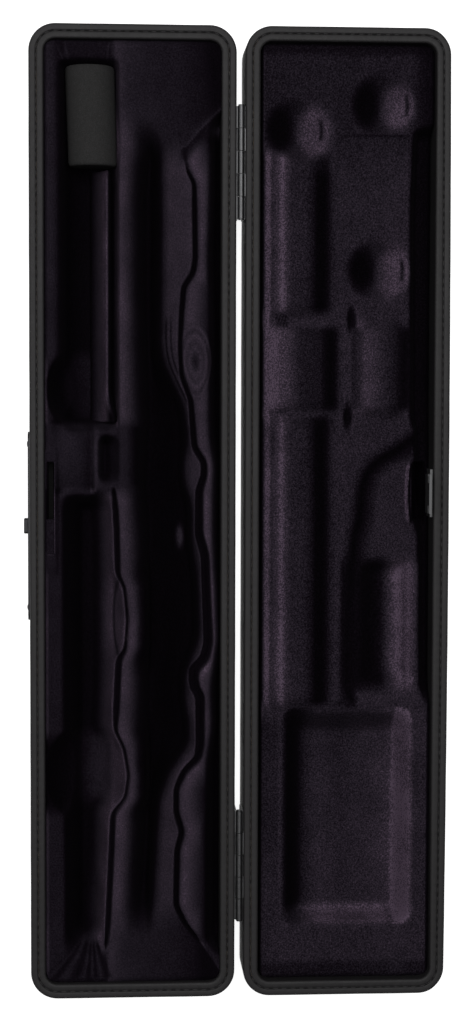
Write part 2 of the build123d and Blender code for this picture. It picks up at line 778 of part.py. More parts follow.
with BuildPart() as keeper_screws:
    screws(keeper_spots, toward_front, keeper_thickness, liner_thickness + screw_depth - screw_end_gap)
save(keeper_screws, "keeper_screws")
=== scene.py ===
import math

import bmesh
import bpy
import numpy as np
from mathutils import Matrix, Vector


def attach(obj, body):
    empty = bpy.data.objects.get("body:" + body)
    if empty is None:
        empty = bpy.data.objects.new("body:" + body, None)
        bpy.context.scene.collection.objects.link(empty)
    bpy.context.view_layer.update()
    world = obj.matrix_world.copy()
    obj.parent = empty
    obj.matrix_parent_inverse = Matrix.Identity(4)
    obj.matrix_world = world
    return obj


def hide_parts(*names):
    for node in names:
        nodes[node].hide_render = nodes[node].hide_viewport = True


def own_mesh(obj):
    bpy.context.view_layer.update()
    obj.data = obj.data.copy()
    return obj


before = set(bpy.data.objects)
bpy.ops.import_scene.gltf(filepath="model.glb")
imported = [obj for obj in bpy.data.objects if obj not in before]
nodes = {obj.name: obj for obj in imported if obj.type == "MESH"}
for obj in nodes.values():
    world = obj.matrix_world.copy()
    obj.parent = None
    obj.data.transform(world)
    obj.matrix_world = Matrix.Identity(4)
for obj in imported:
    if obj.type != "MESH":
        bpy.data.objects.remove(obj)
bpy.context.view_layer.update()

# --- wooden walls and boards ------------------------------------------------------------------
# Each half is a ring of plywood walls round a thin plywood board, glued up before it is covered.
# Both stay bare wood, and the covering hides them apart from the screw holes.


class Wire:
    """One value in a material, so that Python's operators add its Math nodes."""

    def __init__(self, finish, socket):
        self.finish = finish
        self.socket = socket

    def reckon(self, operation, first, second):
        return self.finish.node("ShaderNodeMath", {"operation": operation}, {0: first, 1: second})

    def __add__(self, other):
        return self.reckon("ADD", self, other)

    def __radd__(self, other):
        return self.reckon("ADD", other, self)

    def __sub__(self, other):
        return self.reckon("SUBTRACT", self, other)

    def __rsub__(self, other):
        return self.reckon("SUBTRACT", other, self)

    def __mul__(self, other):
        return self.reckon("MULTIPLY", self, other)

    def __rmul__(self, other):
        return self.reckon("MULTIPLY", other, self)

    def __pow__(self, other):
        return self.reckon("POWER", self, other)


class Finish:
    """One material: a Principled shader and the nodes that vary it."""

    def __init__(self, name, colour, roughness, even=None):
        self.material = bpy.data.materials.new(name)
        self.material.use_nodes = True
        self.tree = self.material.node_tree
        self.shader = self.tree.nodes["Principled BSDF"]
        self.set("Base Color", (*colour, 1.0))
        self.set("Roughness", roughness)
        for socket, value in (even or {}).items():
            self.set(socket, value)

    def feed(self, target, value):
        if isinstance(value, Wire):
            self.tree.links.new(value.socket, target)
        else:
            target.default_value = value

    def set(self, socket, value):
        self.feed(self.shader.inputs[socket], value)

    def node(self, kind, settings=None, sockets=None, output=0):
        made = self.tree.nodes.new(kind)
        for name, value in (settings or {}).items():
            if name == "stops":
                elements = made.color_ramp.elements
                while len(elements) < len(value):
                    elements.new(1.0)
                for element, (place, colour) in zip(elements, value):
                    element.position = place
                    element.color = (*colour, 1.0)
            else:
                setattr(made, name, value)
        for name, value in (sockets or {}).items():
            self.feed(made.inputs[name], value)
        return Wire(self, made.outputs[output])

    def place(self, stretch=(1.0, 1.0, 1.0)):
        """Places on the piece, stretched to turn round grains into long ones."""
        spot = self.node("ShaderNodeTexCoord", output="Object")
        return self.node("ShaderNodeMapping", None, {"Vector": spot, "Scale": stretch})

    def noise(self, place, grains_per_metre, detail=2.0, rough=0.5):
        sockets = {"Vector": place, "Scale": grains_per_metre, "Detail": detail, "Roughness": rough}
        return self.node("ShaderNodeTexNoise", None, sockets)

    def tint(self, mask, dark, light):
        """A colour from dark to light as mask goes from 0 to 1."""
        sockets = {0: mask, 6: (*dark, 1.0), 7: (*light, 1.0)}
        return self.node("ShaderNodeMix", {"data_type": "RGBA"}, sockets, output=2)

    def relief(self, height, depth, strength=1.0):
        """Bumps whose full height is depth, in metres."""
        sockets = {"Strength": strength, "Distance": depth, "Height": height}
        self.set("Normal", self.node("ShaderNodeBump", None, sockets))

    def dress(self, *names):
        """Put this finish on CAD nodes."""
        for name in names:
            mesh = nodes[name].data
            mesh.materials.clear()
            mesh.materials.append(self.material)


plywood_dark = (0.42, 0.29, 0.17)
plywood_light = (0.62, 0.48, 0.32)
plywood_fibres_per_metre = 900.0
plywood_fibre_depth = 0.00008

plywood = Finish("bare_plywood", plywood_light, 0.7)
plywood_fibres = plywood.noise(plywood.place((0.05, 1.0, 1.0)), plywood_fibres_per_metre, 4.0)
plywood.set("Base Color", plywood.tint(plywood_fibres, plywood_dark, plywood_light))
plywood.set("Roughness", 0.6 + plywood_fibres * 0.2)
plywood.relief(plywood_fibres, plywood_fibre_depth)
plywood.dress("base_wall", "lid_wall", "base_board", "lid_board")

# --- leatherette covering ---------------------------------------------------------------------
# A band of fine-grained black leatherette is glued round each half's walls, turned over the rim and
# hemmed under the rounded lower edge. A flat sheet of the same covers the outside of each board.

mm = 0.001
case_length = 474.0
half_width = 100.0
lid_middle = 104.26
rim_height = 32.0
outline_radius = 13.0
under_radius = 3.0
cover_thickness = 0.8
hem_height = 0.3
hem_reach = 4.95
band_width = 3.3
seam_width = 0.5
seam_floor = 31.62
fold_radius = 1.1
stitch_pitch = 4.3
steps_per_stitch = 4
corner_steps = 14
front_bow = 0.6
front_bow_fall = 0.85
front_bow_start = 43.0
front_bow_depth = 3.5

leather_dark = (0.0122, 0.0112, 0.0120)
leather_light = (0.0232, 0.0217, 0.0228)
pebbles_per_metre = 1700.0
pebble_depth = 0.00003

leatherette = Finish(
    "black_leatherette", leather_light, 0.55, {"Specular IOR Level": 0.35, "Coat Roughness": 0.5}
)
leather_place = leatherette.place()
pebbles = leatherette.node(
    "ShaderNodeTexVoronoi", {"feature": "F1"}, {"Vector": leather_place, "Scale": pebbles_per_metre}
)
leather_clouds = leatherette.noise(leather_place, 60.0, 4.0, 0.6)
leather_creases = leatherette.noise(leather_place, 420.0, 3.0, 0.6)
leather_wear = leather_clouds * 0.45 + leather_creases * 0.3 + pebbles * 0.35
leatherette.set("Base Color", leatherette.tint(leather_wear, leather_dark, leather_light))
leatherette.set("Roughness", 0.44 + leather_wear * 0.3)
leatherette.relief(pebbles + leather_creases * 1.5, pebble_depth)
leatherette.dress("base_bottom_cover", "lid_top_cover")


def ring_stations(inset):
    """Corner centres, outward directions and places along a seam, round one half's outline."""
    centre_x = case_length / 2 - outline_radius
    centre_y = half_width / 2 - outline_radius
    seam_radius = outline_radius - inset
    step = stitch_pitch / steps_per_stitch
    corners = [(centre_x, centre_y), (-centre_x, centre_y), (-centre_x, -centre_y), (centre_x, -centre_y)]
    anchors = []
    directions = []
    for quarter, (corner_x, corner_y) in enumerate(corners):
        first = quarter * math.pi / 2
        for turn in range(corner_steps):
            angle = first + turn / corner_steps * math.pi / 2
            anchors.append((corner_x, corner_y))
            directions.append((math.cos(angle), math.sin(angle)))
        angle = first + math.pi / 2
        next_x, next_y = corners[(quarter + 1) % len(corners)]
        side = math.hypot(next_x - corner_x, next_y - corner_y)
        count = round(side / step)
        for index in range(count):
            part = index / count
            anchors.append((corner_x + (next_x - corner_x) * part, corner_y + (next_y - corner_y) * part))
            directions.append((math.cos(angle), math.sin(angle)))
    anchors = np.array(anchors)
    directions = np.array(directions)
    seam = anchors + directions * seam_radius
    gaps = np.linalg.norm(np.roll(seam, -1, axis=0) - seam, axis=1)
    along = np.concatenate([[0.0], np.cumsum(gaps)[:-1]])
    return anchors, directions, along, gaps.sum()


def make_piece(name, points, faces, finish, body, replaced=(), nap=None):
    """A smooth closed mesh from points in millimetres, which rides on a body and stands for nodes."""
    mesh = bpy.data.meshes.new(name)
    mesh.from_pydata((np.asarray(points) * mm).tolist(), [], faces)
    mesh.update()
    work = bmesh.new()
    work.from_mesh(mesh)
    bmesh.ops.recalc_face_normals(work, faces=work.faces)
    work.to_mesh(mesh)
    work.free()
    mesh.polygons.foreach_set("use_smooth", [True] * len(mesh.polygons))
    if nap is not None:
        mesh.attributes.new("nap", "FLOAT", "POINT").data.foreach_set("value", nap)
    mesh.materials.append(finish.material)
    piece = bpy.data.objects.new(name, mesh)
    bpy.context.scene.collection.objects.link(piece)
    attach(piece, body)
    if replaced:
        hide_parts(*replaced)
    return piece


def bowed(points, middle):
    """The lid's front wall bows outward a little in its middle, as thin wooden walls do."""
    if middle == lid_middle:
        share = np.clip((points[..., 1] - middle - front_bow_start) / front_bow_depth, 0, 1)
        bow = front_bow - front_bow_fall * (points[..., 0] / (case_length / 2)) ** 2
        points[..., 1] += share * bow
    return points


def swept_band(profile, middle, shape):
    """Sweep a closed profile of (inset, height) round one half; shape moves each ring of points."""
    anchors, directions, along, length = ring_stations(band_width)
    points = []
    for inset, height in profile:
        insets, heights = shape(np.full(len(along), inset), np.full(len(along), height), along, length)
        spots = anchors + directions * (outline_radius - insets)[:, None]
        points.append(np.column_stack([spots[:, 0], spots[:, 1] + middle, heights]))
    points = bowed(np.array(points), middle)
    rings, stations = points.shape[:2]
    faces = []
    for ring in range(rings):
        upper = (ring + 1) % rings
        for station in range(stations):
            following = (station + 1) % stations
            faces.append((
                ring * stations + station, ring * stations + following,
                upper * stations + following, upper * stations + station,
            ))
    return points.reshape(-1, 3), faces


def arc(centre, radius, first, last, steps):
    """Points of an arc in the plane of (inset, height), angles in degrees."""
    angles = np.radians(np.linspace(first, last, steps))
    return [(centre[0] + radius * math.cos(a), centre[1] + radius * math.sin(a)) for a in angles]


def side_profile():
    """The band's section: out round the wall, over the rim, into the seam, and back inside."""
    inner = under_radius - cover_thickness
    hem_angle = math.degrees(math.asin((under_radius - hem_height) / under_radius))
    inner_top = rim_height - cover_thickness
    outer = [(hem_reach, hem_height), (2.2, hem_height)]
    outer += arc((under_radius, under_radius), under_radius, 180 + hem_angle, 180, 6)
    outer += [(0, z) for z in (9, 16, 23, 28)]
    outer += arc((fold_radius, rim_height - fold_radius), fold_radius, 180, 90, 7)
    outer += [(band_width * 0.55, rim_height + 0.04), (band_width - 0.8, rim_height)]
    outer += arc((band_width - 0.45, rim_height - 0.45), 0.45, 90, 0, 5)
    outer += [(band_width + 0.05, seam_floor), (band_width + seam_width, seam_floor)]
    back = [(band_width + seam_width, inner_top), (cover_thickness + 0.4, inner_top), (cover_thickness, inner_top - 0.4)]
    back += [(cover_thickness, z) for z in (23, 9)]
    back += arc((under_radius, under_radius), inner, 180, 270, 8)
    back += [(hem_reach, cover_thickness)]
    return outer + back


def side_wobble(insets, heights, along, length):
    """The glued leatherette isn't dead flat: slow waves on the faces, and puckers at the stitches."""
    turn = along / length * 2 * math.pi
    high = np.clip((heights - (rim_height - 0.6)) / 0.6, 0, 1)
    near_seam = np.clip((insets - 0.9) / (band_width - 0.9), 0, 1) ** 2 * high
    outside = np.clip(1 - insets / 0.5, 0, 1)
    slow = np.sin(turn * 23) + 0.6 * np.sin(turn * 41 + 1.3)
    puckers = 0.5 + 0.5 * np.cos(along / stitch_pitch * 2 * math.pi)
    heights = heights - near_seam * (0.03 + 0.10 * puckers) + high * 0.015 * slow
    insets = insets + outside * (0.02 + 0.02 * slow)
    return insets, heights


for half, middle in (("base", 0.0), ("lid", lid_middle)):
    band_points, band_faces = swept_band(side_profile(), middle, side_wobble)
    make_piece(
        f"{half}_side_covering", band_points, band_faces, leatherette, half,
        (f"{half}_side_cover",),
    )

# --- wrapped liners ---------------------------------------------------------------------------
# A thin board wrapped in the same leatherette stands inside each wall. Its padded, rolled upper edge
# laps the wall's top and makes the inner band of the rim, beside the stitched seam.

liner_outside = 5.35
liner_inside = 7.3
liner_lap = 3.85
liner_foot = 3.85
liner_top = 32.0
lap_floor = 31.42


def liner_profile():
    """The liner's section: up its outer face, out over the wall's top, and down inside the tray."""
    outline = [(liner_outside, liner_foot), (liner_outside, 20), (liner_outside, 31.15), (liner_lap + 0.1, 31.25)]
    outline += arc((liner_lap + 0.42, liner_top - 0.42), 0.42, 200, 90, 5)
    outline += [(4.9, liner_top + 0.02), (5.7, liner_top)]
    outline += arc((liner_inside - 1.15, liner_top - 1.15), 1.15, 80, 0, 6)
    outline += [(liner_inside, z) for z in (27, 20, 12, liner_foot)]
    return outline


def liner_wobble(insets, heights, along, length):
    """Small dips in the rolled edge where each stitch draws it down."""
    high = np.clip((heights - (liner_top - 0.5)) / 0.5, 0, 1)
    near_seam = np.clip(1 - (insets - liner_lap) / 1.6, 0, 1) * high
    turn = along / length * 2 * math.pi
    puckers = 0.5 + 0.5 * np.cos(along / stitch_pitch * 2 * math.pi)
    heights = heights - near_seam * (0.05 + 0.2 * puckers) + high * 0.02 * np.sin(turn * 31)
    return insets, heights


for half, middle in (("base", 0.0), ("lid", lid_middle)):
    liner_points, liner_faces = swept_band(liner_profile(), middle, liner_wobble)
    make_piece(
        f"{half}_inner_liner", liner_points, liner_faces, leatherette, half,
        (f"{half}_liner",),
    )

# --- rim stitches -----------------------------------------------------------------------------
# One row of dull black thread runs round each rim, in the groove between the turned cover and the
# liner's rolled edge. It was sewn through both, which draws small dips in the leatherette.

stitch_length = 2.9
stitch_width = 0.46
stitch_height = 31.78
thread_dark = (0.006, 0.006, 0.006)
thread_light = (0.016, 0.015, 0.016)
strands_per_metre = 5200.0

thread = Finish("dull_thread", thread_light, 0.8, {"Specular IOR Level": 0.2})
strands = thread.noise(thread.place(), strands_per_metre, 1.0)
thread.set("Base Color", thread.tint(strands, thread_dark, thread_light))
thread.relief(strands, 0.00004)


def stitch_tree():
    """Nodes that lay stitches along a loop of edges."""
    tree = bpy.data.node_groups.new("stitch_row", "GeometryNodeTree")
    face = tree.interface
    face.new_socket("Geometry", in_out="INPUT", socket_type="NodeSocketGeometry")
    inputs = {}
    for name in ("Pitch", "Length", "Width"):
        inputs[name] = face.new_socket(name, in_out="INPUT", socket_type="NodeSocketFloat").identifier
    face.new_socket("Geometry", in_out="OUTPUT", socket_type="NodeSocketGeometry")

    def add(kind, **settings):
        made = tree.nodes.new(kind)
        for name, value in settings.items():
            setattr(made, name, value)
        return made

    def join(source, output, target, socket):
        tree.links.new(source.outputs[output], target.inputs[socket])

    given = add("NodeGroupInput")
    curve = add("GeometryNodeMeshToCurve")
    spaced = add("GeometryNodeResampleCurve", mode="LENGTH")
    ball = add("GeometryNodeMeshUVSphere")
    ball.inputs["Segments"].default_value = 6
    ball.inputs["Rings"].default_value = 5
    ball.inputs["Radius"].default_value = 0.5
    tangent = add("GeometryNodeInputTangent")
    turned = add("FunctionNodeAlignRotationToVector", axis="X")
    size = add("ShaderNodeCombineXYZ")
    uneven = add("FunctionNodeRandomValue", data_type="FLOAT")
    uneven.inputs[2].default_value = 0.9
    uneven.inputs[3].default_value = 1.08
    uneven.inputs["Seed"].default_value = 7
    longer = add("ShaderNodeMath", operation="MULTIPLY")
    laid = add("GeometryNodeInstanceOnPoints")
    real = add("GeometryNodeRealizeInstances")
    smooth = add("GeometryNodeSetShadeSmooth")
    dressed = add("GeometryNodeSetMaterial")
    dressed.inputs["Material"].default_value = thread.material
    result = add("NodeGroupOutput")
    join(given, "Geometry", curve, "Mesh")
    join(curve, "Curve", spaced, "Curve")
    join(given, "Pitch", spaced, "Length")
    join(spaced, "Curve", laid, "Points")
    join(ball, "Mesh", laid, "Instance")
    join(tangent, "Tangent", turned, "Vector")
    join(turned, "Rotation", laid, "Rotation")
    join(given, "Length", longer, 0)
    tree.links.new(uneven.outputs[1], longer.inputs[1])
    join(longer, 0, size, 0)
    join(given, "Width", size, 1)
    join(given, "Width", size, 2)
    join(size, 0, laid, "Scale")
    join(laid, "Instances", real, "Geometry")
    join(real, "Geometry", smooth, "Geometry")
    join(smooth, "Geometry", dressed, "Geometry")
    join(dressed, "Geometry", result, "Geometry")
    return tree, inputs


stitch_nodes, stitch_inputs = stitch_tree()
for half, middle in (("base", 0.0), ("lid", lid_middle)):
    anchors, directions, along, length = ring_stations(band_width)
    seam = anchors + directions * (outline_radius - band_width - seam_width / 2)
    loop = np.column_stack([seam[:, 0], seam[:, 1] + middle, np.full(len(seam), stitch_height)])
    loop = (bowed(loop, middle) * mm).tolist()
    edges = [(index, (index + 1) % len(loop)) for index in range(len(loop))]
    seam_mesh = bpy.data.meshes.new("seam_line")
    seam_mesh.from_pydata(loop, edges, [])
    row = bpy.data.objects.new("seam_line", seam_mesh)
    bpy.context.scene.collection.objects.link(row)
    sewing = row.modifiers.new("stitches", "NODES")
    sewing.node_group = stitch_nodes
    sewing[stitch_inputs["Pitch"]] = stitch_pitch * mm
    sewing[stitch_inputs["Length"]] = stitch_length * mm
    sewing[stitch_inputs["Width"]] = stitch_width * mm
    bpy.context.view_layer.update()
    evaluated = row.evaluated_get(bpy.context.evaluated_depsgraph_get())
    stitches = bpy.data.objects.new(f"{half}_rim_stitches", bpy.data.meshes.new_from_object(evaluated))
    row.modifiers.clear()
    bpy.data.objects.remove(row)
    stitches.data.materials.clear()
    stitches.data.materials.append(thread.material)
    bpy.context.scene.collection.objects.link(stitches)
    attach(stitches, half)

# --- base tray --------------------------------------------------------------------------------
# A moulded foam core under stretched black velvet with a violet sheen. The velvet is pressed into
# the channels and tucked into slits beside them, and it gathers in pleats at the two ends.

tray_half_length = 229.6
tray_half_width = 42.6
tray_corner = 5.6
tray_foot = 3.9
grid_step_x = 0.9
grid_step_y = 0.5
base_level = 30.2
channel_floor = 6.6
bolt_room = 17.6         # the slot over the latch runs on this far, so that the bolt is free in it

velvet_shading_tones = (         # painted light and shade of the velvet: painted shade, flat, and painted highlight
    (0.0, (0.0016, 0.0010, 0.0018)), (0.3, (0.0066, 0.0045, 0.0074)), (0.5, (0.0165, 0.0130, 0.0190)),
    (0.75, (0.0370, 0.0280, 0.0405)), (0.92, (0.0640, 0.0455, 0.0675)), (1.0, (0.115, 0.082, 0.120)),
)
velvet_sheen = (0.62, 0.50, 0.66, 1.0)
pile_tufts_per_metre = 1300.0
pile_depth = 0.00025



def velvet_finish(name, grain):
    """Velvet whose paleness is painted light and shade, read from a point attribute; grain is how much single tufts
    differ.
    """
    velvet = Finish(
        name, velvet_shading_tones[2][1], 0.95,
        {"Specular IOR Level": 0.02, "Sheen Weight": 0.008, "Sheen Roughness": 0.4, "Sheen Tint": velvet_sheen},
    )
    place = velvet.place()
    pile = velvet.noise(place, pile_tufts_per_metre, 3.0, 0.75)
    brushed = velvet.noise(place, 55.0, 3.0, 0.6)
    shading_fac = velvet.node("ShaderNodeAttribute", {"attribute_name": "nap"}, output="Fac")
    tufts = (pile - 0.5) * (shading_fac + 0.3) * (shading_fac * -0.7 + 1.35) * grain
    shading_with_tufts = shading_fac + tufts + (brushed - 0.5) * (shading_fac * 0.5)
    velvet.set("Base Color", velvet.node("ShaderNodeValToRGB", {"stops": velvet_shading_tones}, {"Fac": shading_with_tufts}))
    velvet.relief(pile, pile_depth)
    return velvet


velvet = velvet_finish("black_velvet", 1.0)


def smooth(value):
    """Ease from 0 to 1."""
    value = np.clip(value, 0.0, 1.0)
    return value * value * (3 - 2 * value)


def tray_grid(middle):
    """Places over one tray, whose rows draw in at the ends to follow the liner's corners."""
    columns = round(2 * tray_half_length / grid_step_x) + 1
    rows = round(2 * tray_half_width / grid_step_y) + 1
    x = np.linspace(-tray_half_length, tray_half_length, columns)
    into_corner = np.clip(np.abs(x) - (tray_half_length - tray_corner), 0, tray_corner)
    half = tray_half_width - (tray_corner - np.sqrt(tray_corner**2 - into_corner**2))
    y = np.linspace(-1, 1, rows)[:, None] * half[None, :] + middle
    return np.broadcast_to(x, y.shape), y


def soften(z, along_x, along_y):
    """Round every edge off, as cloth over foam does; the widths are in millimetres."""
    for axis, spread in ((1, along_x / grid_step_x), (0, along_y / grid_step_y)):
        reach = max(1, int(spread * 3))
        weights = np.exp(-0.5 * (np.arange(-reach, reach + 1) / spread) ** 2)
        weights /= weights.sum()
        margins = [(0, 0), (0, 0)]
        margins[axis] = (reach, reach)
        wide = np.pad(z, margins, mode="edge")
        size = z.shape[axis]
        z = sum(
            weight * np.take(wide, range(start, start + size), axis=axis)
            for start, weight in enumerate(weights)
        )
    return z


def track(x, points, ease=2.5):
    """A line along the case through given (x, y) points, as a y for each column."""
    places = x[0]
    line = np.interp(places, [p[0] for p in points], [p[1] for p in points])
    reach = int(3 * ease / grid_step_x)
    weights = np.exp(-0.5 * (np.arange(-reach, reach + 1) * grid_step_x / ease) ** 2)
    line = np.convolve(np.pad(line, reach, mode="edge"), weights / weights.sum(), mode="valid")
    return line[None, :]


def box_distance(x, y, start, end, low, high, corner):
    """How far a place lies outside a rounded rectangle; less than 0 inside."""
    out_x = np.abs(x - (start + end) / 2) - (end - start) / 2 + corner
    out_y = np.abs(y - (low + high) / 2) - (high - low) / 2 + corner
    outside = np.hypot(np.maximum(out_x, 0), np.maximum(out_y, 0))
    return outside + np.minimum(np.maximum(out_x, out_y), 0) - corner


def slit(z, tucked, x, y, line, start, end, width, depth, taper=6.0):
    """Cut a narrow tuck along a line, which runs out to a point at its ends, and mark where it is."""
    slope = np.gradient(line[0], x[0])[None, :]
    away = np.abs(y - line) / np.sqrt(1 + slope**2)
    opening = smooth((x - start) / taper) * smooth((end - x) / taper)
    half = np.maximum(width / 2 * opening, 0.01)
    inside = smooth((half + 0.6 - away) / 1.2) * np.clip(opening * 1.5, 0, 1)
    return z - depth * inside, np.maximum(tucked, inside)


def closed_tray(x, y, z, underside=tray_foot):
    """The tray as a closed solid: its top, straight sides, and a flat underside."""
    rows, columns = z.shape
    top = np.column_stack([x.ravel(), y.ravel(), z.ravel()])
    index = np.arange(rows * columns).reshape(rows, columns)
    corner = index[:-1, :-1].ravel()
    faces = np.column_stack([corner, corner + 1, corner + columns + 1, corner + columns]).tolist()
    rim = np.concatenate([index[0, :-1], index[:-1, -1], index[-1, :0:-1], index[:0:-1, 0]])
    foot = top[rim].copy()
    foot[:, 2] = underside
    first = len(top)
    count = len(rim)
    for place in range(count):
        following = (place + 1) % count
        faces.append((int(rim[following]), int(rim[place]), first + place, first + following))
    faces.append(list(range(first + count - 1, first - 1, -1)))
    return np.vstack([top, foot]), faces


def paint_slope_light(x, y, z, flat, away, painted_shade, toward=0.55, skew=0.4):
    """Painted light and shade by slope: slopes that face the lamp, on the front-wall side and toward the spacer end,
    are painted pale, slopes that face away are painted dark, and a given painted shade darkens it further.
    """
    along = np.gradient(z, axis=1) / np.gradient(x, axis=1)
    across = np.gradient(z, axis=0) / np.gradient(y, axis=0)
    steep = np.sqrt(1 + along**2 + across**2)
    facing = (across + skew * along) / steep
    tone = flat + np.where(facing > 0, toward * facing, away * facing)
    return np.clip(tone * (1 - painted_shade), 0, 1)


def laid(tone, mask, value):
    """Paint the velvet's light and shade to a given paleness wherever mask is 1."""
    return tone + (value - tone) * np.clip(mask, 0, 1)


def strip(distance, stops):
    """A paleness that changes across a strip, from listed (distance, paleness) stops."""
    return np.interp(distance, [stop[0] for stop in stops], [stop[1] for stop in stops])


def base_lines(x):
    """Lines that run along the base tray: its two long tucks and the edges beside them."""
    far = track(x, (
        (-185, 22), (-175, 24.5), (-166.6, 26.7), (-161.9, 29.6), (-125.3, 30.2), (-118.5, 29.2),
        (-111.8, 24.6), (-96.8, 23.4), (-82.2, 22.9), (-69, 23.6), (-57, 28.1), (-47.8, 28.8), (-33.7, 30.0),
        (-26.9, 34.6), (-20.5, 34.8), (-12.7, 32.3), (8.8, 32.3), (18.6, 35.2), (61.4, 37.0),
        (69.3, 35.3), (75.7, 29.6), (83.6, 30), (88.1, 32.9), (112.3, 33), (118.8, 32), (125.7, 24.9),
        (134.1, 21.2), (145.5, 21.2), (155.5, 24.2), (164.4, 21.7), (191.9, 21.2), (201, 25.7),
        (217.2, 38.6), (229.6, 46),
    ), 1.6)
    near = track(x, (
        (-14.7, -9.2), (6.8, -7.9), (28.3, -7.4), (34.2, -4.1), (50.4, -2.5), (64.7, -3.6), (70.1, -6.9),
        (78.9, -7.4), (105.1, -8.6), (114, -4.2), (127.4, -2), (138.3, -3.6), (146.2, -9.8),
        (169.5, -10.8), (191.5, -11.9), (212.9, -13), (229, -13.5),
    ), 1.6)
    ridge = track(x, (
        (-229, -8.8), (-218, -8.7), (-198, -7.5), (-177, -5.9), (-170, -7.6), (-152, -8.7), (-105, -8.5),
        (-55, -7.3), (-47, -6.8), (-30, -8.0), (-14.7, -8.6), (6.8, -7.2), (28.3, -6.6), (34.2, -3.2),
        (50.4, -1.4), (64.7, -2.4), (70.1, -5.9), (78.9, -6.5), (105.1, -7.6), (114, -3.4), (127.4, -1.2),
        (138.3, -2.8), (146.2, -8.8), (169.5, -9.8), (191.5, -10.9), (212.9, -12), (229, -12.5),
    ), 2.0)
    lit = track(x, (
        (-186, 13.0), (-145, 13.8), (-84, 13.2), (-75, 14.5), (-65, 19), (-55, 24), (-38, 26.2),
        (-25, 24.2), (-15, 25.0), (-5, 28.4), (10, 28.0), (33, 31.2), (60, 32.0), (78, 24.8), (92, 25.0),
        (100, 26.8), (112, 27.2), (118, 23.4), (126, 17.5), (140, 12.7), (165, 11), (200, 9),
    ), 3.0)
    shore = track(x, (
        (-170, 0.4), (-150, 0.2), (-124, -0.6), (-91, 0.6), (-60, 0.2), (-40, 0.5), (-25, 2.8), (-8, 2.3),
        (11, 2.3), (35, 3.4), (60, 4.2), (72, 2.8), (85, 1.4), (104, 2.0), (124, -1.2), (150, -3.0), (214, -3.0),
    ), 3.0)
    return far, near, ridge, lit, shore


def channel_ends(x, y):
    """How far the body channel has faded into the plain velvet at its two ends."""
    start = np.interp(y, [-8, 4.9, 8.3, 15.5, 25.7, 40], [-188, -186.5, -181, -177.5, -179.0, -194])
    end = np.interp(y, [-8, 0, 12, 20, 30], [205, 203, 200, 196, 192])
    fade = np.maximum(smooth((start + 6 - x) / 12), smooth((x - end + 14) / 22))
    return soften(fade, 2.5, 2.5)


def lens_pad(x, y):
    """How far a place lies out from the middle of the lens-shaped pad, whose edge is at 1."""
    width = 7.7 - 1.8 * np.clip((x + 75.5) / 17.0, 0, 1)
    return np.hypot((x + 75.5) / 17.5, (y - 30.3 - 0.04 * (x + 75.5)) / width)


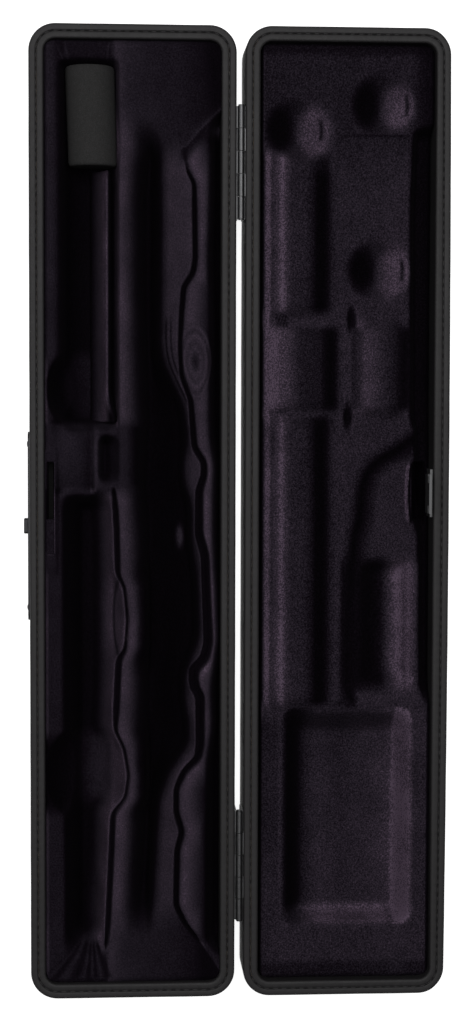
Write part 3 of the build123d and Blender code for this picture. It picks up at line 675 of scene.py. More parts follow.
def base_tray_heights(x, y):
    """The base tray's surface, from its plain channels to its tucks and pleats."""
    z = np.full(x.shape, base_level)
    full = base_level - channel_floor
    tuck_far, tuck_near, ridge, lit, shore = base_lines(x)
    ends = channel_ends(x, y)

    # the deep channel for the body joint, whose far wall leans by different amounts along the case
    middle = 8.0
    crest_far = tuck_far - 1.4
    wall_start = np.minimum(lit - 1.5, crest_far - 1.0)
    foot_of_wall = 15.0
    under = channel_floor + (foot_of_wall - channel_floor) * smooth((y - middle) / (wall_start - middle)) ** 2
    upper = np.clip((y - wall_start) / (crest_far - wall_start), 0, 1)
    far_wall = np.where(y > wall_start, foot_of_wall + (base_level - foot_of_wall) * np.sqrt(upper), under)
    over_ridge = np.clip(y - ridge - 2.4, 0, 20)
    near_wall = base_level - 0.9 * smooth((ridge + 0.7 - y) / 1.6) - 0.11 * over_ridge**2
    near_wall = np.maximum(near_wall - 0.9 * np.clip(over_ridge - 7.0, 0, 20), channel_floor)
    body = np.where(y > middle, far_wall, near_wall)
    z = np.minimum(z, body + (base_level - body) * ends)

    # the channel for the foot joint, which the spacer slides in
    foot = 19.0 - np.sqrt(np.maximum(12.9**2 - (y + 20.5) ** 2, 0))
    shoulder = np.clip(y + 38.2, 0, 5.0)
    foot = np.where(y < -33.2, base_level + 0.2 - 0.36 * shoulder**2, foot)
    foot = np.where(y > -8.0, 60.0, foot)
    foot_ends = np.maximum(np.maximum((-218.0 - x) * 3.0, x + 47.5), 0)
    foot = foot + foot_ends**2 * 1.6
    z = np.minimum(z, foot)
    bowl = 24.5 - 15.5 * np.sqrt(np.maximum(1 - ((x + 62) / 20) ** 2 - ((y + 26) / 14.5) ** 2, 0))
    bowl = np.where(bowl > 24.4, 60.0, bowl)
    z = np.minimum(z, bowl)

    # the channel for the head joint, and the bowl for its lip plate
    crest_near = tuck_near - 0.9
    head_middle = -22.5
    head_part = np.clip((y - head_middle) / (crest_near - head_middle), 0, 1)
    head_far = channel_floor + full * head_part**2.2
    head_near_edge = track(x, ((-15, -35.5), (100, -35.0), (150, -34.5), (214, -34.0)), 4.0)
    near = np.clip((head_middle - 2.0 - y) / (head_middle - 2.0 - head_near_edge), 0, 1.35)
    head_near = channel_floor + full * smooth(near)
    head = np.where(y > head_middle, head_far, head_near)
    head = np.where(y > crest_near, 60.0, head)
    head_ends = smooth((-2.0 - x) / 12) + smooth((x - 200) / 18)
    head = head + (base_level - head) * np.clip(head_ends, 0, 1)
    z = np.where(x > -16, np.minimum(z, head), z)
    lip = 30.8 - 18.4 * np.sqrt(np.maximum(1 - ((x - 126) / 23) ** 2 - ((y + 24) / 18.5) ** 2, 0))
    lip = np.where((lip > 30.7) | (y > crest_near), 60.0, lip)
    z = np.minimum(z, lip)

    # the back bank, which rolls down to the back wall
    fall_start = np.maximum(35.8 + np.maximum(shore, -0.5), tuck_far + 3.2)
    roll = smooth((y - fall_start) / 5.5)
    crease = np.interp(y, [19.3, 25.7, 32.4, 39.2, 43], [-176, -179.6, -187.3, -194.1, -198])
    lower_crease = np.interp(y, [19.3, 26.7, 40.1, 43], [194, 203.5, 218.2, 221])
    along_bank = smooth((x - crease) / 7) * smooth((lower_crease - x) / 3)
    lip_rise = smooth((y - tuck_far) / 1.0) * (1 - smooth((y - tuck_far - 1.0) / 5.0))
    z = z + along_bank * (0.6 * smooth((y - tuck_far) / 1.0) - 1.2 * lip_rise - 14.0 * roll)

    # the block between the two near channels: a hump, and a box with the finger recess
    hump = 29.6 - 0.035 * (y + 29) ** 2 - 0.02 * (x + 30) ** 2
    slope = smooth((y + 41) / 8)
    on_block = (x > -46) & (x < -12) & (y < -19.5)
    z = np.where(on_block & (y > -40), np.minimum(z, hump * slope + 30 * (1 - slope)), z)
    recess = box_distance(x, y, -39.0, -17.5, -16.6, -6.5, 3.0)
    recess_floor = 14.0 + 14.0 * np.clip((y + 13.5) / 9.0, 0, 1.2)
    inside = smooth(-recess / 2.2)
    z = z * (1 - inside) + np.minimum(recess_floor, z) * inside

    z = soften(z, 1.1, 0.75)

    # the slot over the latch's mouth
    slot = box_distance(x, y, -27.0, bolt_room, -41.7, -38.2, 0.8)
    beside_latch = smooth((x + 35) / 6) * smooth((31 - x) / 8) * smooth((-35.6 - y) / 2.2)
    z = z + (np.maximum(z, 30.0) - z) * beside_latch
    z = z - 14.0 * smooth(-slot / 0.6)

    # pads, folds and tucks that stay crisp
    oval = np.sqrt(((x - 49.5) / 18.2) ** 2 + ((y + 6.3) / 3.0) ** 2)
    z = z + 1.6 * smooth((1.12 - oval) / 0.35) * smooth((y + 12) / 4)
    lens = lens_pad(x, y)
    z = z + 0.8 * smooth((1.0 - lens) / 0.3) - 0.8 * smooth((0.62 - lens) / 0.5)
    dimple = np.sqrt(((x - 10.5) / 8.0) ** 2 + ((y - 23.2) / 2.6) ** 2)
    z = z + 1.2 * smooth((1.0 - dimple) / 0.8)
    far_width = track(x, (
        (-172, 0.6), (-160, 1.4), (-150, 1.9), (-108, 2.1), (-92, 1.7), (-75, 1.5), (-60, 1.9), (-25, 2.6),
        (-12, 3.4), (60, 4.2), (74, 4.6), (90, 4.1), (112, 3.9), (122, 2.8), (135, 2.0), (150, 2.3),
        (190, 2.3), (214, 0.6),
    ), 3.0)
    near_width = track(x, (
        (-14, 0.8), (-5, 2.6), (25, 2.4), (34, 0.8), (62, 0.8), (72, 2.8), (95, 2.8), (108, 0.9), (140, 0.9),
        (150, 2.4), (200, 2.4), (214, 0.6),
    ), 2.0)
    z, tucked = slit(z, np.zeros(x.shape), x, y, tuck_far, -172, 214, far_width, 5.0, 7.0)
    z, tucked = slit(z, tucked, x, y, tuck_near, -15.5, 214, near_width, 5.0, 4.0)

    # gathers at the two ends of the near channels
    top_fan = np.clip((-220.5 - x) / 5, 0, 1) * smooth((y + 36) / 3) * smooth((-8 - y) / 3)
    spread_top = (y + 21.5) / (1 + (-220 - x) * 0.06)
    pleat = smooth((2.2 - np.abs(spread_top + 11)) / 2.0) + smooth((2.2 - np.abs(spread_top - 11)) / 2.0)
    z = z - top_fan * (0.7 * pleat + 1.0)
    fan_place = smooth((x - 207) / 10) * smooth((229.5 - x) / 4)
    fan_angle = np.arctan2(y + 18.5, x - 196.0)
    fan = smooth((fan_angle + 0.75) / 0.2) * smooth((0.42 - fan_angle) / 0.2)
    z = z - fan_place * fan * (0.3 + 0.3 * np.cos(fan_angle * 24.0))
    edge_x = tray_half_length - np.abs(x)
    z = z - 1.6 * smooth((2.4 - edge_x) / 2.4)
    z = z - 1.3 * smooth((-41.2 - y) / 1.4) * (1 - beside_latch)
    return z, tucked


def base_tray_painted_shading(x, y, z, tucked):
    """The base tray's painted light and shade: by its slopes, with painted shade deep in its channels and tucks and
    painted highlights along its ridges, banks and edges.
    """
    tuck_far, tuck_near, ridge, lit, shore = base_lines(x)
    ends = channel_ends(x, y)
    # painted shade that deepens as the velvet lies lower in the channels
    depth = smooth((24.0 - z) / 14.0)
    tone = paint_slope_light(x, y, z, 0.40, 0.30, 0.75 * depth)

    # painted light on the far bank of the tray, from its tuck to the back wall, and painted shade where it rolls down
    # to the wall
    bank = strip(y - tuck_far, (
        (0.4, 0.25), (1.8, 0.66), (3.5, 0.82), (5.5, 0.79), (7.0, 0.73), (8.4, 0.65), (9.8, 0.56), (11.3, 0.46),
        (12.8, 0.35), (14.5, 0.2),
    ))
    bank = np.minimum(bank, strip(y - shore, (
        (31.0, 0.82), (32.8, 0.80), (34.3, 0.74), (35.7, 0.57), (37.2, 0.34), (38.7, 0.14), (40.0, 0.06),
    )))
    bank = bank * (1 + 0.35 * smooth((shore - 1.5) / 2))
    crease = np.interp(y, [15, 19.3, 25.7, 32.4, 39.2, 43], [-176.5, -176.5, -179.6, -187.3, -194.1, -198])
    inside_bank = smooth((y - tuck_far) / 0.8) * smooth((x - crease) / 5) * smooth((210 - x) / 8)
    tone = laid(tone, inside_bank, bank)
    # painted light and shade in rings over the lens-shaped pad
    lens = lens_pad(x, y)
    rings = strip(lens, (
        (0, 0.34), (0.15, 0.46), (0.36, 0.74), (0.54, 0.64), (0.72, 0.82), (0.86, 0.60), (0.98, 0.78), (1.15, 0.5),
    ))
    tone = laid(tone, smooth((1.12 - lens) / 0.12) * smooth((y - tuck_far) / 0.8), rings)

    # painted light and shade in the body channel: painted highlights on its near ridge and far wall, painted shade on
    # its bottom
    over = y - ridge
    squeeze = track(x, ((-186, 1), (25, 1), (34, 1.5), (42, 1.9), (62, 2.0), (70, 1.4), (77, 1), (105, 1), (113, 1.4),
                        (121, 2.5), (129, 2.6), (137, 1.7), (145, 1.1), (152, 1), (210, 1)), 5.0)
    channel = strip(over * squeeze, (
        (-0.8, 0.5), (0.4, 0.76), (2.5, 0.78), (4.5, 0.76), (6.4, 0.68), (7.9, 0.55), (9.4, 0.42), (11.4, 0.28),
        (14, 0.14), (18, 0.04),
    ))
    wall = strip(y - lit, ((-2.0, 0.0), (0, 0.16), (1.6, 0.50), (4.0, 0.70), (9.0, 0.70)))
    channel = np.where(y > 8.0, np.maximum(wall, channel), channel)
    plateau = strip(over, ((-0.8, 0.5), (0.5, 0.66), (2.5, 0.64), (6, 0.52), (14, 0.45), (32, 0.40), (42, 0.28), (47, 0.10)))
    channel = channel + (plateau - channel) * ends
    dimmer = 1 - 0.38 * smooth((x + 50) / 8) * smooth((-8 - x) / 8) * (1 - smooth((over - 6) / 4))
    in_channel = smooth((over + 0.6) / 0.8) * smooth((tuck_far - y) / 0.8)
    beyond = smooth((over + 0.6) / 0.8) * smooth((-182 - x) / 8 + smooth((x - 210) / 8))
    tone = laid(tone, np.maximum(in_channel, beyond), channel * dimmer)
    # painted shade below the crease, a painted highlight along it and on the dimple, and lines of painted shade at
    # the folds
    below_crease = smooth((x - crease + 1) / 1.5) * (1 - smooth((x - crease - 3) / 7)) * smooth((y - 21) / 4)
    tone = laid(tone, 0.7 * below_crease * smooth((44 - y) / 2), 0.16)
    tone = laid(tone, 0.85 * np.exp(-((x - crease) / 0.7) ** 2) * smooth((y - 20) / 3), 0.62)
    dimple = np.sqrt(((x - 10.5) / 9.0) ** 2 + ((y - 23.2) / 3.0) ** 2)
    tone = laid(tone, smooth((1.0 - dimple) / 0.8), 0.62)
    fold_shade = np.exp(-((y - lit - 3.0) / 0.45) ** 2) + np.exp(-((y - lit - 5.2) / 0.4) ** 2)
    tone = tone * (1 - 0.55 * fold_shade * smooth((x + 100) / 8) * smooth((-52 - x) / 6) * smooth((tuck_far - 1 - y) / 1))

    # painted light and shade in the near channels: the front bank, the head joint's far wall and the two bowls, and a
    # line of painted shade round the oval pad
    front = strip(y, ((-43, 0.40), (-41, 0.50), (-38.6, 0.45), (-36.4, 0.33), (-34.2, 0.20), (-32, 0.12)))
    tone = laid(tone, smooth((-32.5 - y) / 1.5) * smooth((-72 - x) / 8), front)
    head_edge = np.minimum(tuck_near, -7.4)
    head = strip(y - head_edge, ((-12, 0.04), (-10, 0.15), (-7.6, 0.45), (-5.0, 0.74), (-2.5, 0.90), (-1.0, 0.82)))
    in_head = smooth((tuck_near - y) / 0.6) * smooth((y - head_edge + 13.5) / 3) * smooth((x + 14) / 6)
    tone = laid(tone, in_head * smooth((212 - x) / 14), head)
    bowl = strip(y, ((-38, 0.08), (-28, 0.16), (-24, 0.28), (-19, 0.46), (-15, 0.52), (-12, 0.54), (-9, 0.78), (-6, 0.88), (-4, 0.80)))
    bowl_away = np.hypot((x - 126) / 22.0, (y + 22) / 19.0)
    tone = laid(tone, smooth((1.0 - bowl_away) / 0.4) * smooth((tuck_near - y) / 0.6), bowl)
    tone = laid(tone, smooth((x - 103) / 10) * smooth((149 - x) / 10) * smooth((-27 - y) / 8), 0.08)
    oval = np.hypot((x - 49.5) / 18.2, (y + 6.3) / 3.0)
    tone = laid(tone, 0.7 * np.exp(-((oval - 1.0) / 0.14) ** 2) * smooth((-6.0 - y) / 1.5), 0.35)
    foot_away = np.hypot((x + 64) / 20.0, (y + 24) / 12.0)
    tone = laid(tone, smooth((1.0 - foot_away) / 0.4), strip(y, ((-36, 0.12), (-29, 0.24), (-22, 0.32), (-16, 0.40))))

    # painted light and shade on the block with the finger recess, on the end panel's pleats and on the fan, painted
    # shade in the tucks, and the painted shadow in the slot over the latch
    block = smooth((x + 47) / 3) * smooth((-12 - x) / 3) * smooth((-17.5 - y) / 2)
    tone = laid(tone, 0.85 * block, 0.46 - 0.16 * smooth((y + 27) / 8))
    box = strip(y, (
        (-21.0, 0.32), (-19.8, 0.42), (-18.4, 0.64), (-17.0, 0.60), (-15.3, 0.33), (-12.8, 0.14), (-10.4, 0.34),
        (-7.9, 0.38), (-5.5, 0.46), (-3.0, 0.48), (-0.5, 0.36), (2.0, 0.18), (5.0, 0.12),
    ))
    on_box = smooth((x + 45.5) / 3) * smooth((-13.5 - x) / 3) * smooth((y + 21) / 1.5) * smooth((5 - y) / 3)
    tone = laid(tone, on_box, box)
    box_ends = smooth((x + 45.5) / 1.5) * (1 - smooth((x + 41.0) / 2)) + smooth((x + 19) / 2) * (1 - smooth((x + 14.5) / 1.5))
    tone = laid(tone, 0.7 * box_ends * smooth((y + 19) / 2) * smooth((-7 - y) / 2), 0.5)
    panel = smooth((-219.0 - x) / 2) * smooth((y + 37) / 2) * smooth((-8.5 - y) / 2)
    tone = laid(tone, 0.8 * panel, 0.34)
    for foot_y, spread in ((-33.0, 0.45), (-30.8, 0.2), (-12.5, -0.12), (-9.8, -0.3)):
        pleat = np.exp(-((y - foot_y - spread * (x + 219)) / 0.4) ** 2)
        tone = laid(tone, 0.7 * pleat * panel, 0.62)
    fan_angle = np.arctan2(y + 20.0, x - 203.0)
    fan = smooth((fan_angle + 0.85) / 0.15) * smooth((0.45 - fan_angle) / 0.15)
    fan = fan * smooth((x - 208) / 5) * smooth((229.0 - x) / 3)
    tone = laid(tone, fan, 0.33 + 0.12 * np.cos(fan_angle * 27.0 + 1.6 * np.sin(fan_angle * 8.0)))
    # painted shade in the tucks
    tone = tone * (1 - 0.78 * tucked)
    slot = box_distance(x, y, -27.0, bolt_room, -41.7, -38.2, 0.8)
    return tone * (1 - smooth(-slot / 0.5))


x, y = tray_grid(0.0)
z, tucked = base_tray_heights(x, y)
tray_points, tray_faces = closed_tray(x, y, z)
# painted light and shade for the tray's top; its sides and underside stay at 0
tray_painted_shading = np.zeros(len(tray_points))
tray_painted_shading[:z.size] = base_tray_painted_shading(x, y, z, tucked).ravel()
base_tray = make_piece(
    "base_tray_velvet", tray_points, tray_faces, velvet, "base",
    ("base_core", "base_lining"), tray_painted_shading,
)

# the strip of velvet over the bolt's end of the slot, glued to the latch housing
cover_x, cover_y = np.meshgrid(np.linspace(0.9, 18.4, 36), np.linspace(-42.4, -37.5, 14))
cover_edge = np.minimum(np.minimum(cover_x - 0.9, 18.4 - cover_x), np.minimum(cover_y + 42.4, -37.5 - cover_y))
cover_points, cover_faces = closed_tray(cover_x, cover_y, 29.6 + 0.7 * smooth(cover_edge / 1.0), 29.42)
cover_nap = 0.38 * np.ones(len(cover_points))
make_piece("latch_cover_velvet", cover_points, cover_faces, velvet, "base", (), cover_nap)

# --- soft lip of the foot channel -------------------------------------------------------------
# A soft roll of padded velvet stands along the far side of the foot channel and narrows it. Nothing
# holds its free edge, so the foam spacer presses it flat against the wall as it slides past.

lip_start = -168.5
lip_end = -46.8
lip_step = 1.2
lip_wall = -7.4
lip_section = (          # across the channel and up: the slope, the crest, and back down to the wall
    (-20.6, 8.0), (-19.4, 9.0), (-18.0, 11.4), (-16.4, 15.0), (-15.1, 19.0), (-14.2, 22.8), (-13.5, 26.2),
    (-12.9, 28.3), (-12.35, 28.9), (-11.9, 28.2), (-11.6, 26.0), (-11.3, 21.0), (-10.6, 15.0), (-9.4, 11.0),
    (-8.1, 10.0), (-8.05, 8.4), (-10.0, 7.6), (-15.0, 7.3), (-19.0, 7.2),
)

lip_rings = []
for x_here in np.arange(lip_start, lip_end + lip_step, lip_step):
    closing = smooth((x_here + 62.0) / 15.0)
    ending = smooth((x_here - lip_start) / 5.0)
    bend = 2.0 * smooth((x_here + 60) / 14.0)
    ring = []
    for across, height in lip_section:
        if height > 9.9 and across > -12.6:
            across = across + closing * (min(lip_wall - 0.1, across + 3.4) - across)
        if height > 9.9 and across <= -12.6:
            across = across + bend
        height = 7.2 + (height - 7.2) * (0.55 + 0.45 * ending)
        ring.append((x_here, min(across, lip_wall - 0.1), height))
    lip_rings.append(ring)
lip_points = np.array(lip_rings)
ring_count, section_count = lip_points.shape[:2]
lip_faces = []
for ring in range(ring_count - 1):
    for spot in range(section_count):
        following = (spot + 1) % section_count
        lip_faces.append((
            ring * section_count + spot, ring * section_count + following,
            (ring + 1) * section_count + following, (ring + 1) * section_count + spot,
        ))
lip_faces.append(list(range(section_count)))
lip_faces.append(list(range((ring_count - 1) * section_count, ring_count * section_count))[::-1])
# painted light on the lip's slope that faces the front wall, and painted shade on the far side of its crest
lip_painted_shading = np.interp(lip_points[:, :, 1], [-20.5, -17, -14, -12.4, -11.6, -11.2], [0.10, 0.60, 0.94, 0.86, 0.5, 0.1])
foot_lip = make_piece(
    "foot_channel_lip", lip_points.reshape(-1, 3), lip_faces, velvet, "base",
    nap=lip_painted_shading.ravel(),
)
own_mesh(foot_lip)

# --- foam spacer ------------------------------------------------------------------------------
# A plain cylinder of dense grey-black closed-cell foam, cut off square with a hot wire, so that its
# round side is smooth and its two ends show open cells.

plug_start = -218.3
plug_end = -169.6
plug_middle = (-20.0, 19.0)
plug_radius = 12.0
plug_turn = 0.034         # it lies a little askew in its channel
plug_steps = 72

foam_dark = (0.010, 0.0098, 0.0098)
foam_light = (0.040, 0.0394, 0.0394)

plug_foam = Finish("closed_cell_foam", foam_light, 0.9, {"Specular IOR Level": 0.15})
foam_place = plug_foam.place()
cells = plug_foam.node("ShaderNodeTexVoronoi", {"feature": "F1"}, {"Vector": foam_place, "Scale": 2600.0})
foam_clouds = plug_foam.noise(foam_place, 500.0, 4.0, 0.7)
plug_foam.set("Base Color", plug_foam.tint(cells * 0.8 + foam_clouds * 0.5, foam_dark, foam_light))
plug_foam.relief(cells + foam_clouds, 0.00008)

half_plug = (plug_end - plug_start) / 2
plug_profile = [(0.0, 0.0), (0.05, 4.0), (0.12, 8.0), (0.25, 10.4), (0.5, 11.3), (1.1, 11.82), (2.2, 12.0)]
plug_rings = [(plug_start + shift, radius) for shift, radius in plug_profile]
plug_rings += [(plug_start + part * 2 * half_plug, plug_radius) for part in (0.25, 0.5, 0.75)]
plug_rings += [(plug_end - shift, radius) for shift, radius in reversed(plug_profile)]
plug_points = []
plug_faces = []
for x_here, radius in plug_rings[1:-1]:
    for step in range(plug_steps):
        angle = 2 * math.pi * step / plug_steps
        plug_points.append((
            x_here, plug_middle[0] + plug_turn * (x_here - plug_start - half_plug) + radius * math.cos(angle),
            plug_middle[1] + radius * math.sin(angle),
        ))
for ring in range(len(plug_rings) - 3):
    for step in range(plug_steps):
        following = (step + 1) % plug_steps
        plug_faces.append((
            ring * plug_steps + step, ring * plug_steps + following,
            (ring + 1) * plug_steps + following, (ring + 1) * plug_steps + step,
        ))
plug_faces.append(list(range(plug_steps)))
plug_faces.append(list(range((len(plug_rings) - 3) * plug_steps, (len(plug_rings) - 2) * plug_steps))[::-1])
spacer = make_piece(
    "foam_spacer", plug_points, plug_faces, plug_foam, "spacer", ("spacer_plug",)
)

# --- latch ------------------------------------------------------------------------------------
# A long black-finished steel plate on the front wall carries the thumb slide. Behind the wall a plain
# steel bolt runs in a black steel box, whose open mouth takes the lid's keeper.

black_steel_dark = (0.018, 0.018, 0.019)
black_steel_light = (0.045, 0.045, 0.048)

black_steel = Finish("black_finished_steel", black_steel_light, 0.4, {"Metallic": 0.85})
black_clouds = black_steel.noise(black_steel.place(), 900.0, 4.0, 0.6)
black_steel.set("Base Color", black_steel.tint(black_clouds, black_steel_dark, black_steel_light))
black_steel.set("Roughness", 0.34 + black_clouds * 0.25)
black_steel.relief(black_clouds, 0.00001)
black_steel.dress("latch_escutcheon", "latch_knob")
black_steel.dress("escutcheon_screws", "keeper_screws")

oiled_steel_dark = (0.003, 0.003, 0.003)
oiled_steel_light = (0.008, 0.008, 0.008)

oiled_steel = Finish("oiled_black_steel", oiled_steel_light, 0.8, {"Specular IOR Level": 0.2})
oil_clouds = oiled_steel.noise(oiled_steel.place(), 700.0, 4.0, 0.6)
oiled_steel.set("Base Color", oiled_steel.tint(oil_clouds, oiled_steel_dark, oiled_steel_light))
oiled_steel.relief(oil_clouds, 0.00001)
oiled_steel.dress("latch_bolt", "latch_housing")

spring_dark = (0.07, 0.07, 0.073)
spring_light = (0.15, 0.15, 0.153)

spring_steel = Finish("dull_spring_steel", spring_light, 0.4, {"Metallic": 0.9})
spring_scratches = spring_steel.noise(spring_steel.place((0.06, 1.0, 1.0)), 2500.0, 4.0, 0.7)
spring_clouds = spring_steel.noise(spring_steel.place(), 300.0, 3.0, 0.6)
spring_wear = spring_scratches * 0.6 + spring_clouds * 0.4
spring_steel.set("Base Color", spring_steel.tint(spring_wear, spring_dark, spring_light))
spring_steel.set("Roughness", 0.42 + spring_wear * 0.25)
spring_steel.relief(spring_scratches, 0.00001)
spring_steel.dress("keeper")

# --- lid tray ---------------------------------------------------------------------------------
# The same velvet over a foam core with raised pads that hold the joints down. Between the pads lie
# three round dishes, a trench, a long recess, a lower ground and a rectangular pocket for a cloth.

lid_level = 27.5
lid_ground = 24.5


lid_velvet = velvet_finish("rubbed_black_velvet", 2.0)


dish_places = (          # each dish: its middle, how far its painted-light side lies forward, and half its length
    (-188.0, 80.0, 8.0, 16.0), (-200.3, 122.0, 5.6, 13.5), (-120.4, 120.2, 5.2, 13.5),
)


def ground_edge(x):
    """The curved edge of the lid's lower ground, as a y for each column."""
    return track(x, (
        (-60, 152), (-44, 146), (-37.7, 135.9), (-31.8, 127.1), (-26.9, 118.7), (-20.5, 113.8), (-13.1, 111.9),
        (1.6, 110.5), (11.5, 108.1), (28.8, 106.7), (51, 105.4), (84, 105.2), (90.7, 106), (94, 118), (97, 150),
    ), 1.2)


def trench_edge(x):
    """The edge of the dark trench along the lid's front wall."""
    return track(x, (
        (-190, 147), (-187, 137.2), (-150, 136.0), (-50, 136.6), (-40, 138.5), (-30, 138.5), (2, 138.8), (10, 141.0), (60, 141.0),
        (84, 142), (92, 144),
    ), 0.8)


def lid_tray_heights(x, y):
    """The lid tray's surface, with y measured across the opened lid."""
    z = np.full(x.shape, lid_level)

    # the lower ground beyond its curved edge
    edge = ground_edge(x)
    drop = smooth((y - edge + 2.4) / 4.8)
    rise = smooth((x - 84) / 9)
    z = z - (lid_level - lid_ground) * drop * (1 - rise)

    # a trough along the front wall, deep beside the trench and fading past the keeper
    trough_floor = track(x, ((-190, 20), (-186, 15.5), (-50, 15.5), (-36, 17.5), (80, 19), (92, 23), (229, 26)), 1.5)
    trough = smooth((y - trench_edge(x)) / 2.2) * (1 - smooth((x - 84) / 10))
    z = z + (np.minimum(trough_floor, z) - z) * trough

    # pads over the body joint and across the middle
    near_edge = strip(y, (
        (61.7, 0.0), (64.2, 0.04), (67.6, 0.52), (72, 0.66), (76, 0.96), (80, 1.0), (86, 0.94), (89.5, 0.70), (95, 0),
    ))
    single = strip(y, (
        (61.7, 0.0), (64.2, 0.04), (71.2, 0.94), (74, 0.9), (84, 0.92), (92.5, 0.85), (96, 0.5), (100, 0.0),
    ))
    pad_rise = 5.5
    long_pad = near_edge * smooth((x + 53.5) / 10.0) * smooth((97.0 - x) / 9.0)
    cap_pad = near_edge * smooth((x + 180.5) / 9.0) * smooth((-95.5 - x) / 10.0)
    cross_pad = single * smooth((x + 96.5) / 10.0) * smooth((-47.5 - x) / 10.0)
    z = z + pad_rise * np.maximum(np.maximum(long_pad, cap_pad), cross_pad)
    far_pad = box_distance(x, y, -98.0, -47.0, 105.0, 135.0, 10.0)
    shoulder = strip(y, ((104, 0.0), (108, 0.45), (113, 0.9), (124, 1.0), (130, 0.8), (137, 0.0)))
    z = z + 4.4 * shoulder * smooth(-far_pad / 8.0)

    # dishes, each with a small dimple near its front side
    for centre_x, centre_y, _, _ in dish_places:
        away = np.hypot(x - centre_x, (y - centre_y) * 1.02) / 15.5
        z = z - 8.0 * np.maximum(1 - away**2, 0) ** 1.4
        dimple = np.hypot((x - centre_x) / 4.6, (y - centre_y - 12.0) / 1.8)
        z = z - 1.0 * smooth((1.0 - dimple) / 0.9)

    # the side recess and the pocket
    recess = box_distance(x, y, 20.0, 85.0, 111.0, 139.5, 7.0)
    recess_floor = 16.5
    z = z + (recess_floor - z) * smooth(-recess / 9.0)
    pocket_in_y = smooth((y - 74.2) / 10.5) * smooth((138.6 - y) / 10.0)
    pocket_in_x = smooth((x - 94.5) / 15.0) * smooth((203.2 - x) / 5.5)
    pocket_shape = box_distance(x, y, 96.0, 203.0, 74.2, 138.6, 9.0)
    pocket_in = pocket_in_y * pocket_in_x * smooth(-pocket_shape / 3.0)
    z = z + (14.0 - z) * pocket_in

    z = soften(z, 1.4, 1.0)

    # the tucked ends of the small pad, the keeper's well and the bowed edge of the velvet at it
    tucked = np.zeros(x.shape)
    for centre_x, centre_y in ((-96.0, 107.2), (-49.0, 105.6)):
        tuck = smooth(1.3 - np.hypot((x - centre_x) / 7.0, (y - centre_y) / 2.4))
        z = z - 1.6 * tuck
        tucked = np.maximum(tucked, tuck)
    well = box_distance(x, y, -27.0, 3.2, 137.6, 145.0, 2.0)
    z = z - 14.0 * smooth(-well / 1.0)
    bow = 137.2 - 2.0 * np.sqrt(np.maximum(1 - ((x + 11.5) / 16.0) ** 2, 0))
    flap = np.exp(-((y - bow) / 0.7) ** 2) * smooth((x + 27) / 3) * smooth((4 - x) / 3)
    z = z + 2.4 * flap
    edge_x = tray_half_length - np.abs(x)
    edge_y = np.minimum(y - 61.66, 146.86 - y)
    z = z - 2.0 * smooth((2.2 - edge_x) / 2.2)
    z = z - 1.5 * smooth((1.6 - edge_y) / 1.6) - 6.0 * smooth((63.4 - y) / 1.6)
    return z, tucked


